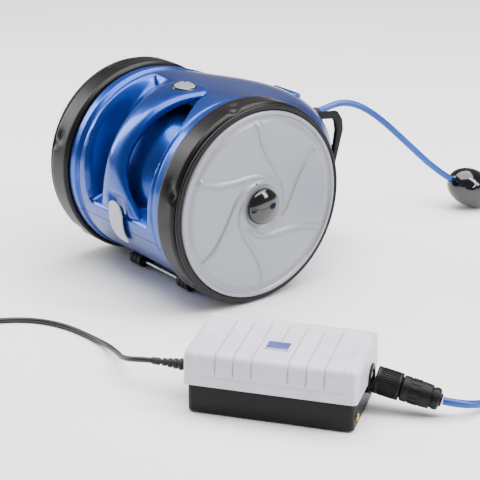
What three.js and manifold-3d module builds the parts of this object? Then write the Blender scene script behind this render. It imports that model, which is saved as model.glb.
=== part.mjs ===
// Battery-free robotic pool cleaner with its floating cable and its mains power supply.
// Units are millimetres and +Z is up.  Each sub-part is built about the cleaner's own point, which is
// on the floor under the middle of the wheel axle: +X is the cleaner's right, -Y its front.
import * as THREE from "three";
import { mergeVertices } from "three/addons/utils/BufferGeometryUtils.js";
import Module from "manifold-3d";

const wasm = await Module();
wasm.setup();

// ---------------------------------------------------------------- driving dimensions
const GAP = 0.3; // what touching pieces keep between them
const RUNNING = 0.6; // clearance beside a piece that turns or slides

// wheels
const wheelRadius = 130;
const wheelClearance = 2; // between the casing's end and the tyre's inboard edge
const tyreWidth = 40.5;
const tyreThickness = 12;
const tyreLip = 9.6; // height of the narrow outboard lip
const drumWall = 4;
const discThickness = 2.6;
const discCrown = 4; // how far the disc's middle stands out past its rim
const hubCapRadius = 23.4;
const hubCapHeight = 11;
const capSpigotRadius = 14;
const hubWall = 8; // thickness of the wheel's hub round its bush
const axleRadius = 10;
const bushWall = 4;
const ringTeeth = 40;
const pinionTeeth = 10;
const gearModule = 3.7;
const gearWidth = 8;
const backlash = 1.3;
const pinionAngle = 150; // direction of the pinion from the axle, degrees from the rear upwards

// casing
const tyreStand = 8; // how far the tyre stands out past the casing
const barrelHalfLength = 99.5;
const tailReach = 78; // how far the tail stands out past the barrel
const tailAngle = 8; // direction of the tail, degrees above the rear
const tailSpread = 37; // how fast the tail fades into the barrel, degrees
const tailHalfWidth = 104;
const wall = 3;
const partingAngle = 22; // the lid's joint plane, degrees up towards the rear
const bottomHeight = 13; // the casing's flat underside above the floor

// hinge at the rear of the lid
const hingeAngle = 28; // direction of the hinge from the axle, degrees above the rear
const hingeSink = 1; // how far its axis lies under the casing's surface
const hingePinRadius = 2;
const knuckleRadius = 4.5;
const knuckleLength = 16;

// hand hold
const pocketHalfWidth = 74;
const pocketDepth = 34; // of the pockets under the casing's surface
const pocketNarrowing = 32; // how much narrower each side of the pocket is at its rear end
const pocketFrom = 92; // rear end of the pockets, degrees over the top from the rear
const pocketTo = 193; // front end of the pockets
const handleHalfWidth = 21;
const handleThickness = 15;
const handleStand = 4; // how far the handle stands out past the casing
const insetHalfWidth = 13;

// latch
const latchTop = 186;
const latchBottom = 211;
const latchThickness = 4;
const latchHalfWidth = 9;
const latchClearance = 1.5; // between the leaf and the casing

// suction plate, filter and pump
const plateMargin = 11.5; // between the plate's end and the casing's end
const plateHalfWidth = 38;
const slotLength = 150;
const slotWidth = 14;
const slotOffset = 18;
const flapThickness = 2;
const basketMargin = 15.5; // between the basket's end and the casing's end
const basketDepth = 78;
const basketWall = 2;
const basketRange = [-50, 34]; // front and back of the basket
const mouthMargin = [3, 29]; // the mouth past the slots' ends, and its half width
const pumpRadius = 28;
const pumpLength = 66;
const ductRadius = 36;
const impellerRadius = 30;
const outletDrop = 16; // the pump's axis below the wheel axle
const outletAngle = -8; // direction of the outlet from the axle
const outletSlope = -31; // direction in which it blows
const outletSize = [55, 36];
const glandRadius = 9;
const glandFlange = 12;
const cableExitAngle = 13; // direction of the gland from the axle
const cableExitSlope = 7; // direction in which the cable leaves it

// rollers
const frontRollerRadius = 8.5;
const frontRollerLength = 22;
const frontRollerOffset = 53;
const frontRollerClearance = 1.3; // between the front rollers and the casing above them
const tailRollerRadius = 11;
const tailRollerLength = 70;
const tailRollerInset = 24; // the roller's axis ahead of the tail's rearmost point
const bracketInset = 12; // the bracket's seat ahead of that point
const strapWidth = 6;
const rollerPinRadius = 2.5;

// power supply
const supplyLength = 195;
const supplyDepth = 109;
const supplyBaseHeight = 35;
const supplyHeight = 78;
const supplyTurn = 35.7; // its long side from +X, degrees
const supplyCorner = [332, -259]; // front left corner on the floor
const supplyInset = 4;
const supplyWall = 2.5;
const footHeight = 2;
const footPlace = 72; // each rubber foot from the middle of the supply
const grooveCount = 8;
const connectorRadius = 14.5;
const connectorLength = 75;
const connectorDroop = 12;
const socketPlace = [17, 35]; // beside the supply's middle line, and height
const reliefPlace = [-5.1, 34];
const reliefLength = 52;

// cords
const cableDiameter = 9.2;
const leadDiameter = 6.4;
const floatRadius = 27;
const floatLength = 76;
const plugBodyLength = 34;
const plugPinLength = 20;
const plugHeight = 7.2;
const plugOffset = [-51, -45]; // from the middle of the lead's coil
// Route points lie on the cords' middle lines, about the cleaner's own point.
const cableToFloat = [
  [0, 215.8, 177.4],
  [0, 228, 178.9],
  [1, 243, 181.4],
  [5, 259, 182],
  [10, 277, 176.5],
  [16, 296, 165],
  [22, 319, 146],
  [29, 342, 123.5],
  [36, 366, 99.5],
  [42, 391, 75.5],
  [51.2, 424.2, 49.2],
];
const cableFromFloat = [
  [69.8, 489.8, 12.8],
  [76, 509, 6.5],
  [88, 532, 5],
  [110, 558, 5],
  [145, 579, 5],
  [190, 583, 5],
  [240, 566, 5],
  [290, 531, 5],
  [340, 496, 5],
  [395.5, 457.3, 5],
];
const cableToSupply = [
  [476.2, 302, 31.5],
  [476.3, 285, 28],
  [477.5, 262, 20.5],
  [480.5, 238, 12.5],
  [485.5, 214, 7],
  [492, 190, 5],
  [501, 162, 5],
  [511, 134, 5],
  [520, 105, 5],
  [526, 75, 5],
  [528, 45, 5],
  [529.8, 26, 5.9],
  [530.8, 10, 7.8],
  [530.9, -4, 10.6],
  [529.5, -17.3, 13.9],
  [526, -26, 16],
  [521, -33.3, 17.7],
  [516.4, -38.1, 18.7],
  [513.7, -40.4, 19.3],
];
const leadRoute = [
  [260.5, -249.5, 34],
  [252, -255.6, 33.5],
  [241, -261, 31.5],
  [228, -262, 28],
  [213, -258, 23],
  [197, -251, 18],
  [174.6, -242, 12],
  [150, -235.5, 7.5],
  [128, -232.7, 4.6],
  [108, -233, 3.4],
  [88, -235.2, 3.4],
  [70, -238.5, 3.4],
  [55.6, -243, 3.4],
  [42, -249, 3.4],
  [30.3, -256.1, 3.4],
  [18, -267, 3.4],
  [8.3, -278.6, 3.4],
  [-1.3, -294.2, 3.4],
  [-9, -307.5, 3.4],
  [-15.2, -318, 3.4],
];
const floatPlace = [60.5, 457, 31];
const floatDirection = [0.24, 0.85, -0.47];
const cableCoil = { centre: [375, 348], middleRadius: 82.8, wide: 46, high: 37 };
const leadCoil = { centre: [-68.1, -318.1], middleRadius: 35.4, wide: 25.6, high: 13.2 };

const axleHeight = wheelRadius;
const tyreInner = barrelHalfLength + wheelClearance;
const barrelRadius = wheelRadius - tyreStand;
const tailEnd = barrelRadius + tailReach;
const tailRollerBehind = tailEnd - tailRollerInset;
const bracketBehind = tailEnd - bracketInset;
const pocketFloor = barrelRadius - pocketDepth;
const handleRadius = barrelRadius + handleStand;
const frontRollerTop = 2 * frontRollerRadius + frontRollerClearance;
const frontRollerAhead = Math.sqrt(barrelRadius ** 2 - (axleHeight - frontRollerTop) ** 2);
const plateHalfLength = barrelHalfLength - plateMargin;
const basketHalfLength = barrelHalfLength - basketMargin;
const pitchRadius = (gearModule * ringTeeth) / 2;
const pinionPitchRadius = (gearModule * pinionTeeth) / 2;
const rad = THREE.MathUtils.degToRad;

const rounds = 36; // facets of a wheel-sized circle

// ---------------------------------------------------------------- materials
const finish = (color, roughness, metalness = 0) =>
  new THREE.MeshStandardMaterial({ color, roughness, metalness });
const bluePlastic = finish(0x2a5aa8, 0.25, 0.3);
const silverPlastic = finish(0xb4b7bf, 0.4, 0.2);
const greyPlastic = finish(0xc4c8cf, 0.45);
const blackPlastic = finish(0x1b1a1c, 0.5);
const blackGloss = finish(0x121112, 0.15);
const blackRubber = finish(0x2a2628, 0.8);
const whitePlastic = finish(0xdedde6, 0.5);
const badgePlastic = finish(0x5c6aa0, 0.4);
const steel = finish(0xa8aaad, 0.3, 1);
const brass = finish(0xb08a3c, 0.35, 1);
const bronze = finish(0x8c6a3a, 0.5, 1);
const copper = finish(0x7d4a2e, 0.5, 0.6);
const blueRubber = finish(0x1d4e9c, 0.5);
const meshPlastic = finish(0xd8d8d2, 0.7);

// ---------------------------------------------------------------- shape helpers
function toSolid(geometry) {
  const bare = geometry.index ? geometry.toNonIndexed() : geometry.clone();
  bare.deleteAttribute("normal");
  bare.deleteAttribute("uv");
  const merged = mergeVertices(bare, 1e-3);
  const made = new wasm.Manifold(
    new wasm.Mesh({
      numProp: 3,
      vertProperties: merged.attributes.position.array,
      triVerts: new Uint32Array(merged.index.array),
    }),
  );
  return made;
}

function toGeometry(solid) {
  const mesh = solid.getMesh();
  const geometry = new THREE.BufferGeometry();
  const places = new Float32Array(mesh.numVert * 3);
  for (let i = 0; i < mesh.numVert; i++) {
    for (let k = 0; k < 3; k++) places[i * 3 + k] = mesh.vertProperties[i * mesh.numProp + k];
  }
  geometry.setAttribute("position", new THREE.BufferAttribute(places, 3));
  geometry.setIndex(new THREE.BufferAttribute(mesh.triVerts, 1));
  geometry.computeVertexNormals();
  return geometry;
}

const cut = (first, ...others) =>
  toGeometry(others.reduce((left, tool) => left.subtract(toSolid(tool)), toSolid(first)));
const join = (first, ...others) =>
  toGeometry(others.reduce((left, more) => left.add(toSolid(more)), toSolid(first)));
const common = (first, other) => toGeometry(toSolid(first).intersect(toSolid(other)));

// A closed ring or a turned piece about the X axis: profile points are [radius, x].
function turned(profile, segments = 48) {
  const points = profile.map(([r, x]) => new THREE.Vector2(r, x));
  if (THREE.ShapeUtils.area(points) < 0) points.reverse();
  const onAxis = points.filter((p) => p.x === 0).length >= 2;
  if (!onAxis) points.push(points[0].clone());
  if (onAxis) {
    while (!(points[0].x === 0 && points[points.length - 1].x === 0)) points.push(points.shift());
  }
  return new THREE.LatheGeometry(points, segments).rotateZ(-Math.PI / 2);
}

// A plain round bar along X between two places.
const bar = (radius, from, to, segments = 24) =>
  turned(
    [
      [0, from],
      [radius, from],
      [radius, to],
      [0, to],
    ],
    segments,
  );

const box = (lowX, highX, lowY, highY, lowZ, highZ) =>
  new THREE.BoxGeometry(highX - lowX, highY - lowY, highZ - lowZ).translate(
    (lowX + highX) / 2,
    (lowY + highY) / 2,
    (lowZ + highZ) / 2,
  );

// An outline of [y, z] points pushed along X.
function slice(outline, from, to) {
  const corners = Array.isArray(outline) ? outline.map(([y, z]) => new THREE.Vector2(y, z)) : null;
  const shape = corners ? new THREE.Shape(corners) : outline;
  return new THREE.ExtrudeGeometry(shape, { depth: to - from, bevelEnabled: false, curveSegments: 12 })
    .applyMatrix4(new THREE.Matrix4().makeBasis(Y_AXIS, Z_AXIS, X_AXIS))
    .translate(from, 0, 0);
}
const X_AXIS = new THREE.Vector3(1, 0, 0);
const Y_AXIS = new THREE.Vector3(0, 1, 0);
const Z_AXIS = new THREE.Vector3(0, 0, 1);

// A block with rounded upright corners.
function roundedBlock(length, depth, height, corner, bevel = 0) {
  const [x, y] = [length / 2 - bevel, depth / 2 - bevel];
  const shape = new THREE.Shape();
  shape.moveTo(-x + corner, -y);
  shape.lineTo(x - corner, -y);
  shape.absarc(x - corner, -y + corner, corner, -Math.PI / 2, 0);
  shape.lineTo(x, y - corner);
  shape.absarc(x - corner, y - corner, corner, 0, Math.PI / 2);
  shape.lineTo(-x + corner, y);
  shape.absarc(-x + corner, y - corner, corner, Math.PI / 2, Math.PI);
  shape.lineTo(-x, -y + corner);
  shape.absarc(-x + corner, -y + corner, corner, Math.PI, 1.5 * Math.PI);
  return new THREE.ExtrudeGeometry(shape, {
    depth: height - 2 * bevel,
    bevelEnabled: bevel > 0,
    bevelSize: bevel,
    bevelThickness: bevel,
    bevelSegments: 1,
    curveSegments: 3,
  }).translate(0, 0, bevel);
}

// The casing's surface: its distance from the axle line at an angle (degrees, 0 at the rear and 90
// on top) and at a place x.  A round barrel carries a tail that narrows in plan.
function casingRadius(angle, x, inset = 0) {
  const away = THREE.MathUtils.euclideanModulo(angle - tailAngle + 180, 360) - 180;
  const plan = Math.sqrt(Math.max(0, 1 - (x / tailHalfWidth) ** 2));
  return barrelRadius - inset + tailReach * plan * Math.exp(-((away / tailSpread) ** 2));
}

const hingeReach = casingRadius(hingeAngle, 0) - hingeSink;
const hingeDistance = hingeReach * Math.cos(rad(hingeAngle)); // behind the axle
const hingeHeight = axleHeight + hingeReach * Math.sin(rad(hingeAngle)); // above the floor

// How far the casing's surface slopes down towards the rear at the hinge.
function hingeSlope() {
  const [ahead, behind] = [hingeAngle + 1, hingeAngle - 1].map((angle) => {
    const r = casingRadius(angle, 0);
    return [r * Math.cos(rad(angle)), r * Math.sin(rad(angle))];
  });
  return Math.atan2(ahead[1] - behind[1], behind[0] - ahead[0]);
}

// A solid with the casing's shape, taken in by an inset.
function casingSolid(inset, halfLength, slices = 6, facets = 48) {
  const made = new THREE.CylinderGeometry(1, 1, 1, facets, slices);
  const places = made.attributes.position;
  for (let i = 0; i < places.count; i++) {
    const x = halfLength * Math.sin(Math.PI * places.getY(i));
    const reach = Math.hypot(places.getX(i), places.getZ(i)) > 0.5 ? 1 : 0;
    const angle = Math.atan2(places.getZ(i), places.getX(i));
    const r = reach * casingRadius(THREE.MathUtils.radToDeg(angle), x, inset);
    places.setXYZ(i, x, r * Math.cos(angle), axleHeight + r * Math.sin(angle));
  }
  return flipIfInside(made);
}

function flipIfInside(geometry) {
  if (toSolid(geometry).volume() > 0) return geometry;
  const index = geometry.index.array;
  for (let i = 0; i < index.length; i += 3) [index[i + 1], index[i + 2]] = [index[i + 2], index[i + 1]];
  return geometry;
}

// A curved block round the axle line between two angles: its half width and its two radii may
// change with the angle.
function curvedBlock({ from, to, halfWidth, inner, outer, steps = 16, across = 1, middle = 0 }) {
  const value = (size, angle) => (typeof size === "function" ? size(angle) : size);
  const made = new THREE.BoxGeometry(1, 1, 1, steps, across, 1);
  const places = made.attributes.position;
  for (let i = 0; i < places.count; i++) {
    const angle = from + (to - from) * (places.getX(i) + 0.5);
    const x = middle + 2 * places.getY(i) * value(halfWidth, angle);
    const r = places.getZ(i) > 0 ? value(outer, angle) : value(inner, angle);
    places.setXYZ(i, x, r * Math.cos(rad(angle)), axleHeight + r * Math.sin(rad(angle)));
  }
  return flipIfInside(made);
}

const smooth = (low, high, value) => THREE.MathUtils.smoothstep(value, low, high);

// A cord's straight and curved stretch through its points.
function cordTube(points, diameter, steps, sides) {
  const path = new THREE.CatmullRomCurve3(
    points.map((p) => new THREE.Vector3(...p)),
    false,
    "centripetal",
  );
  const section = new THREE.Shape();
  for (let i = 0; i < sides; i++) {
    const turn = (2 * Math.PI * i) / sides;
    const [px, py] = [(diameter / 2) * Math.cos(turn), (diameter / 2) * Math.sin(turn)];
    if (i === 0) section.moveTo(px, py);
    else section.lineTo(px, py);
  }
  return new THREE.ExtrudeGeometry(section, { steps, bevelEnabled: false, extrudePath: path });
}

const model = new THREE.Group();
function add(parent, name, geometry, material) {
  const mesh = new THREE.Mesh(geometry, material);
  mesh.name = name;
  parent.add(mesh);
  return mesh;
}

// A group whose +X axis points along a direction from a place, with its Y axis level.
function pointing(place, direction) {
  const group = new THREE.Group();
  const ahead = new THREE.Vector3(...direction).normalize();
  const level = new THREE.Vector3().crossVectors(Z_AXIS, ahead).normalize();
  const upward = new THREE.Vector3().crossVectors(ahead, level);
  group.position.set(...place);
  group.quaternion.setFromRotationMatrix(new THREE.Matrix4().makeBasis(ahead, level, upward));
  return group;
}

// ---------------------------------------------------------------- gears
// A toothed outline: teeth stand from the root radius to the tip radius, and each is a trapezium.
function toothed(teeth, rootRadius, tipRadius, pitch, phase) {
  const shape = new THREE.Shape();
  const halfPitch = Math.PI / teeth;
  const tipSide = Math.sign(tipRadius - rootRadius);
  const flank = (radius) => {
    const widthAtPitch = (Math.PI * gearModule) / 2 - backlash;
    const taper = 2 * Math.tan(rad(20)) * (radius - pitch) * tipSide;
    return (widthAtPitch - taper) / 2 / radius;
  };
  for (let i = 0; i < teeth; i++) {
    const middle = phase + 2 * halfPitch * i;
    const corners = [
      [rootRadius, middle - flank(rootRadius)],
      [tipRadius, middle - flank(tipRadius)],
      [tipRadius, middle + flank(tipRadius)],
      [rootRadius, middle + flank(rootRadius)],
    ];
    for (const [r, turn] of corners) {
      const [px, py] = [r * Math.cos(turn), r * Math.sin(turn)];
      if (i === 0 && shape.curves.length === 0 && shape.currentPoint.length() === 0) shape.moveTo(px, py);
      else shape.lineTo(px, py);
    }
  }
  return shape;
}

const pinionCentre = [
  (pitchRadius - pinionPitchRadius) * Math.cos(rad(pinionAngle)),
  axleHeight + (pitchRadius - pinionPitchRadius) * Math.sin(rad(pinionAngle)),
];

// ---------------------------------------------------------------- one side of the running gear
// Built for the right side, +X; the left side is its mirror image.
function runningGear(side) {
  const group = new THREE.Group();
  group.scale.x = side === "left" ? -1 : 1;
  group.position.z = axleHeight;
  model.add(group);

  const tyreOuter = tyreInner + tyreWidth;
  const bedRadius = wheelRadius - tyreThickness;
  const lipRadius = wheelRadius - tyreLip;
  const discRadius = lipRadius - GAP;
  const tyreProfile = [
    [bedRadius, tyreInner],
    [wheelRadius - 3, tyreInner],
    [wheelRadius, tyreInner + 3],
    [wheelRadius, tyreOuter - 2],
    [wheelRadius - 2, tyreOuter],
    [lipRadius, tyreOuter],
    [lipRadius, tyreOuter - 4],
    [bedRadius, tyreOuter - 4],
  ];
  add(group, side + "_tyre", turned(tyreProfile, rounds), blackRubber);

  // wheel body: drum under the tyre, web, hub, and the ring gear that the pinion drives
  const drumRadius = bedRadius - GAP;
  const drumOuter = tyreOuter - 4;
  const webFrom = tyreInner + 24;
  const bushRadius = axleRadius + RUNNING / 2 + bushWall;
  const gearFrom = tyreInner + 3;
  const ringTip = pitchRadius - gearModule + 0.4;
  const ringRoot = pitchRadius + 1.25 * gearModule;
  const ringOutside = ringRoot + 5;
  const drum = turned(
    [
      [bushRadius + GAP, tyreInner + 12],
      [bushRadius + hubWall, tyreInner + 12],
      [bushRadius + hubWall, webFrom],
      [drumRadius - drumWall, webFrom],
      [drumRadius - drumWall, tyreInner + 1],
      [drumRadius, tyreInner + 1],
      [drumRadius, drumOuter],
      [drumRadius - drumWall, drumOuter],
      [drumRadius - drumWall, webFrom + 4],
      [bushRadius + hubWall, webFrom + 4],
      [bushRadius + hubWall, drumOuter - 2],
      [bushRadius + GAP, drumOuter - 2],
    ],
    rounds,
  );
  const collar = new THREE.Shape().absarc(0, 0, ringOutside, 0, 2 * Math.PI);
  const ringPhase = rad(pinionAngle) + Math.PI / ringTeeth;
  collar.holes.push(toothed(ringTeeth, ringRoot, ringTip, pitchRadius, ringPhase));
  const ring = slice(collar, gearFrom, gearFrom + gearWidth);
  const skirt = turned(
    [
      [ringRoot + 1, gearFrom + gearWidth - 0.5],
      [ringOutside, gearFrom + gearWidth - 0.5],
      [ringOutside, webFrom + 1],
      [ringRoot + 1, webFrom + 1],
    ],
    rounds,
  );
  add(group, side + "_wheel", join(drum, ring, skirt), blackPlastic);

  const bush = turned(
    [
      [axleRadius + RUNNING / 2, tyreInner + 12],
      [bushRadius, tyreInner + 12],
      [bushRadius, drumOuter - 2],
      [axleRadius + RUNNING / 2, drumOuter - 2],
    ],
    32,
  );
  add(group, side + "_axle_bush", bush, bronze);

  // crowned trim disc and its hub cap
  const rimFace = tyreOuter + 2.3;
  const seat = drumOuter + GAP;
  const disc = turned(
    [
      [capSpigotRadius + GAP, rimFace + discCrown - discThickness],
      [discRadius - 8, rimFace - 1 - discThickness],
      [discRadius - 8, seat],
      [discRadius, seat],
      [discRadius, rimFace - 1],
      [discRadius - 1.5, rimFace],
      [60, rimFace + discCrown * 0.75],
      [capSpigotRadius + GAP, rimFace + discCrown],
    ],
    rounds,
  );
  add(group, side + "_wheel_disc", disc, silverPlastic);

  const capBase = rimFace + discCrown + GAP;
  const dome = [];
  const domeSteps = 4;
  for (let i = 0; i <= domeSteps; i++) {
    const turn = (i / domeSteps) * (Math.PI / 2);
    dome.push([hubCapRadius * Math.cos(turn), capBase + hubCapHeight * Math.sin(turn)]);
  }
  dome[domeSteps][0] = 0;
  const spigotEnd = capBase - discThickness - GAP;
  const spigot = [[0, spigotEnd], [capSpigotRadius, spigotEnd], [capSpigotRadius, capBase]];
  const cap = turned([...spigot, ...dome], 24);
  add(group, side + "_hub_cap", cap, blackGloss);

  // fixed axle stub with its flange on the side plate, then the pinion and its motor
  const plateOuter = barrelHalfLength - 1.5;
  const stub = turned(
    [
      [0, plateOuter + GAP],
      [28, plateOuter + GAP],
      [28, plateOuter + 3],
      [axleRadius, plateOuter + 3],
      [axleRadius, drumOuter - 2],
      [0, drumOuter - 2],
    ],
    32,
  );
  add(group, side + "_axle", stub, steel);

  const drive = new THREE.Group();
  drive.position.set(0, pinionCentre[0], pinionCentre[1] - axleHeight);
  group.add(drive);
  const pinionTip = pinionPitchRadius + gearModule - 0.3;
  const pinionRoot = pinionPitchRadius - 1.25 * gearModule;
  const teeth = slice(
    toothed(pinionTeeth, pinionRoot, pinionTip, pinionPitchRadius, rad(pinionAngle)),
    gearFrom + 0.5,
    gearFrom + gearWidth - 0.5,
  );
  const motorFace = plateOuter - 5 - 2;
  const shaft = bar(4, motorFace + GAP, gearFrom + 1, 16);
  add(drive, side + "_drive_pinion", join(teeth, shaft), whitePlastic);
  const motor = join(
    bar(18, motorFace - 62, motorFace - 18, 24),
    bar(20, motorFace - 18.5, motorFace - 2, 24),
    bar(9, motorFace - 2.5, motorFace, 16),
  );
  add(drive, side + "_drive_motor", motor, steel);

  // side plate that closes the casing and carries axle and motor
  const plate = casingPlate(plateOuter - 5, plateOuter);
  const sidePlate = cut(
    plate,
    bar(4 + RUNNING, plateOuter - 8, plateOuter + 2, 16).translate(0, pinionCentre[0], pinionCentre[1]),
  );
  const holder = new THREE.Group();
  holder.scale.x = group.scale.x;
  model.add(holder);
  add(holder, side + "_side_plate", sidePlate, blackPlastic);
}

// A flat plate with the casing's inner outline, between two places along X.
function casingPlate(from, to) {
  const outline = [];
  for (let angle = 0; angle < 360; angle += 7.5) {
    const r = casingRadius(angle, barrelHalfLength, wall + 0.8);
    const z = Math.max(axleHeight + r * Math.sin(rad(angle)), bottomHeight + wall + 0.8);
    outline.push([r * Math.cos(rad(angle)), z]);
  }
  return slice(outline, from, to);
}

// ---------------------------------------------------------------- casing
// Half spaces for the joint between lid and lower shell.
function abovePlane(gap) {
  const block = new THREE.BoxGeometry(400, 800, 400).translate(0, 0, 200 + gap / 2);
  return block.rotateX(rad(partingAngle)).translate(0, 0, axleHeight);
}

// The half space ahead of the hinge, or behind it, cut square to the surface so that the lid's rear
// edge swings clear.
function besideHinge(from, to) {
  return box(-200, 200, from, to, -500, 500)
    .rotateX(-hingeSlope())
    .translate(0, hingeDistance, hingeHeight);
}
const pocketWidth = (angle) => pocketHalfWidth - pocketNarrowing * (1 - smooth(pocketFrom, 128, angle));
const handleWidth = (angle) =>
  handleHalfWidth + 18 * smooth(172, 191, angle) + 16 * (1 - smooth(pocketFrom, 112, angle));

function casing() {
  const outer = casingSolid(0, barrelHalfLength);
  const inner = casingSolid(wall, barrelHalfLength + 1);
  const skin = cut(outer, inner);
  const lidRear = -knuckleRadius - 1;
  const lidRegion = common(abovePlane(GAP), besideHinge(-600, lidRear));
  const lowRegion = cut(box(-210, 210, -310, 310, bottomHeight, 410), abovePlane(-GAP));
  const tailRegion = common(box(-210, 210, -310, 310, axleHeight, 410), besideHinge(lidRear + GAP, 300));

  // lid: skin above the joint with two hand pockets let in beside the handle
  const tub = curvedBlock({
    from: pocketFrom - 2,
    to: pocketTo + 2,
    halfWidth: (angle) => pocketWidth(angle) + wall,
    inner: pocketFloor - wall,
    outer: barrelRadius - 1,
    steps: 20,
  });
  const cavity = curvedBlock({
    from: pocketFrom,
    to: pocketTo,
    halfWidth: pocketWidth,
    inner: pocketFloor,
    outer: barrelRadius + 30,
    steps: 20,
  });
  const knuckle = (from, to, radius = knuckleRadius) =>
    bar(radius, from, to, 20).translate(0, hingeDistance, hingeHeight);
  const half = knuckleLength / 2;
  const arm = box(-half, half, hingeDistance - 10, hingeDistance, hingeHeight - 3, hingeHeight + 2.5);
  const bore = knuckle(-60, 60, hingePinRadius + 0.1);
  let lid = join(common(skin, lidRegion), tub, arm, knuckle(-half, half));
  lid = cut(lid, cavity, bore);
  const lidBody = new THREE.Group();
  model.add(lidBody);
  add(lidBody, "upper_shell", lid, bluePlastic);

  const handle = curvedBlock({
    from: pocketFrom + 0.4,
    to: pocketTo - 0.4,
    halfWidth: handleWidth,
    inner: (angle) => handleRadius - handleThickness - 6 * smooth(172, 191, angle),
    outer: (angle) => handleRadius - 4 * smooth(150, 193, angle) - 3 * (1 - smooth(92, 110, angle)),
    steps: 18,
    across: 2,
  });
  const insetSeat = curvedBlock({
    from: 95,
    to: 105,
    halfWidth: insetHalfWidth + GAP,
    inner: handleRadius - 5,
    outer: handleRadius + 9,
    steps: 3,
    middle: 2,
  });
  add(lidBody, "handle", cut(handle, insetSeat), bluePlastic);
  const inset = curvedBlock({
    from: 95.2,
    to: 104.8,
    halfWidth: insetHalfWidth,
    inner: handleRadius - 4.7,
    outer: handleRadius - 1.5,
    steps: 3,
    middle: 2,
  });
  add(lidBody, "handle_inset", inset, silverPlastic);

  // lower shell: the rest of the skin, open over the suction plate
  const lowSkin = join(common(skin, lowRegion), common(skin, tailRegion));
  const floorPlate = box(
    -barrelHalfLength + 0.5,
    barrelHalfLength - 0.5,
    -60,
    60,
    bottomHeight,
    bottomHeight + wall,
  );
  const floor = common(floorPlate, casingSolid(0.5, barrelHalfLength));
  const mouth = box(-slotLength / 2 - 3, slotLength / 2 + 3, -30, 30, 0, bottomHeight + 8);
  const glandHole = bar(glandRadius + GAP, -30, 30, 20).applyMatrix4(glandFrame());
  const glandSeat = bar(glandFlange, -GAP, 30, 20).applyMatrix4(glandFrame());
  const [halfWide, halfHigh] = outletSize.map((size) => size / 2 + GAP);
  const outletHole = box(-40, 20, -halfWide, halfWide, -halfHigh, halfHigh).applyMatrix4(outletFrame());
  const ears = [-1, 1].map((side) => {
    const from = half + 0.5;
    const to = half + 0.5 + knuckleLength;
    return join(
      knuckle(Math.min(side * from, side * to), Math.max(side * from, side * to)),
      box(
        Math.min(side * from, side * to),
        Math.max(side * from, side * to),
        hingeDistance,
        hingeDistance + 13,
        hingeHeight - 13,
        hingeHeight,
      ),
    );
  });
  const slotHalf = half + 0.5;
  const slotFrom = hingeDistance + lidRear - 2;
  const clearKnuckle = join(
    knuckle(-slotHalf, slotHalf, knuckleRadius + 0.8),
    box(-slotHalf, slotHalf, slotFrom, hingeDistance, hingeHeight - 5, hingeHeight + 5),
  );
  const lowBody = join(cut(join(lowSkin, floor), clearKnuckle), ...ears);
  const low = cut(lowBody, mouth, glandHole, glandSeat, outletHole, bore);
  add(model, "lower_shell", low, bluePlastic);
  add(model, "lid_hinge_pin", knuckle(-half - knuckleLength, half + knuckleLength, hingePinRadius), steel);

  // latch leaf at the front of the lid
  const latchBody = new THREE.Group();
  model.add(latchBody);
  const leaf = curvedBlock({
    from: latchTop,
    to: latchBottom,
    halfWidth: (angle) => latchHalfWidth * (1 - 0.75 * smooth(latchBottom - 9, latchBottom, angle)),
    inner: barrelRadius + latchClearance,
    outer: barrelRadius + latchClearance + latchThickness,
    steps: 8,
  });
  add(latchBody, "latch_leaf", leaf, greyPlastic);
}

// The place and direction in which the cable leaves the tail.
function glandFrame() {
  const r = casingRadius(cableExitAngle, 0);
  return pointingMatrix(
    [0, r * Math.cos(rad(cableExitAngle)), axleHeight + r * Math.sin(rad(cableExitAngle))],
    [0, Math.cos(rad(cableExitSlope)), Math.sin(rad(cableExitSlope))],
  );
}

// The place and direction of the pump's outlet in the underside of the tail.
function outletFrame() {
  const r = casingRadius(outletAngle, 0);
  return pointingMatrix(
    [0, r * Math.cos(rad(outletAngle)), axleHeight + r * Math.sin(rad(outletAngle))],
    [0, Math.cos(rad(outletSlope)), Math.sin(rad(outletSlope))],
  );
}
function pointingMatrix(place, direction) {
  const group = pointing(place, direction);
  group.updateMatrix();
  return group.matrix;
}

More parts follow.
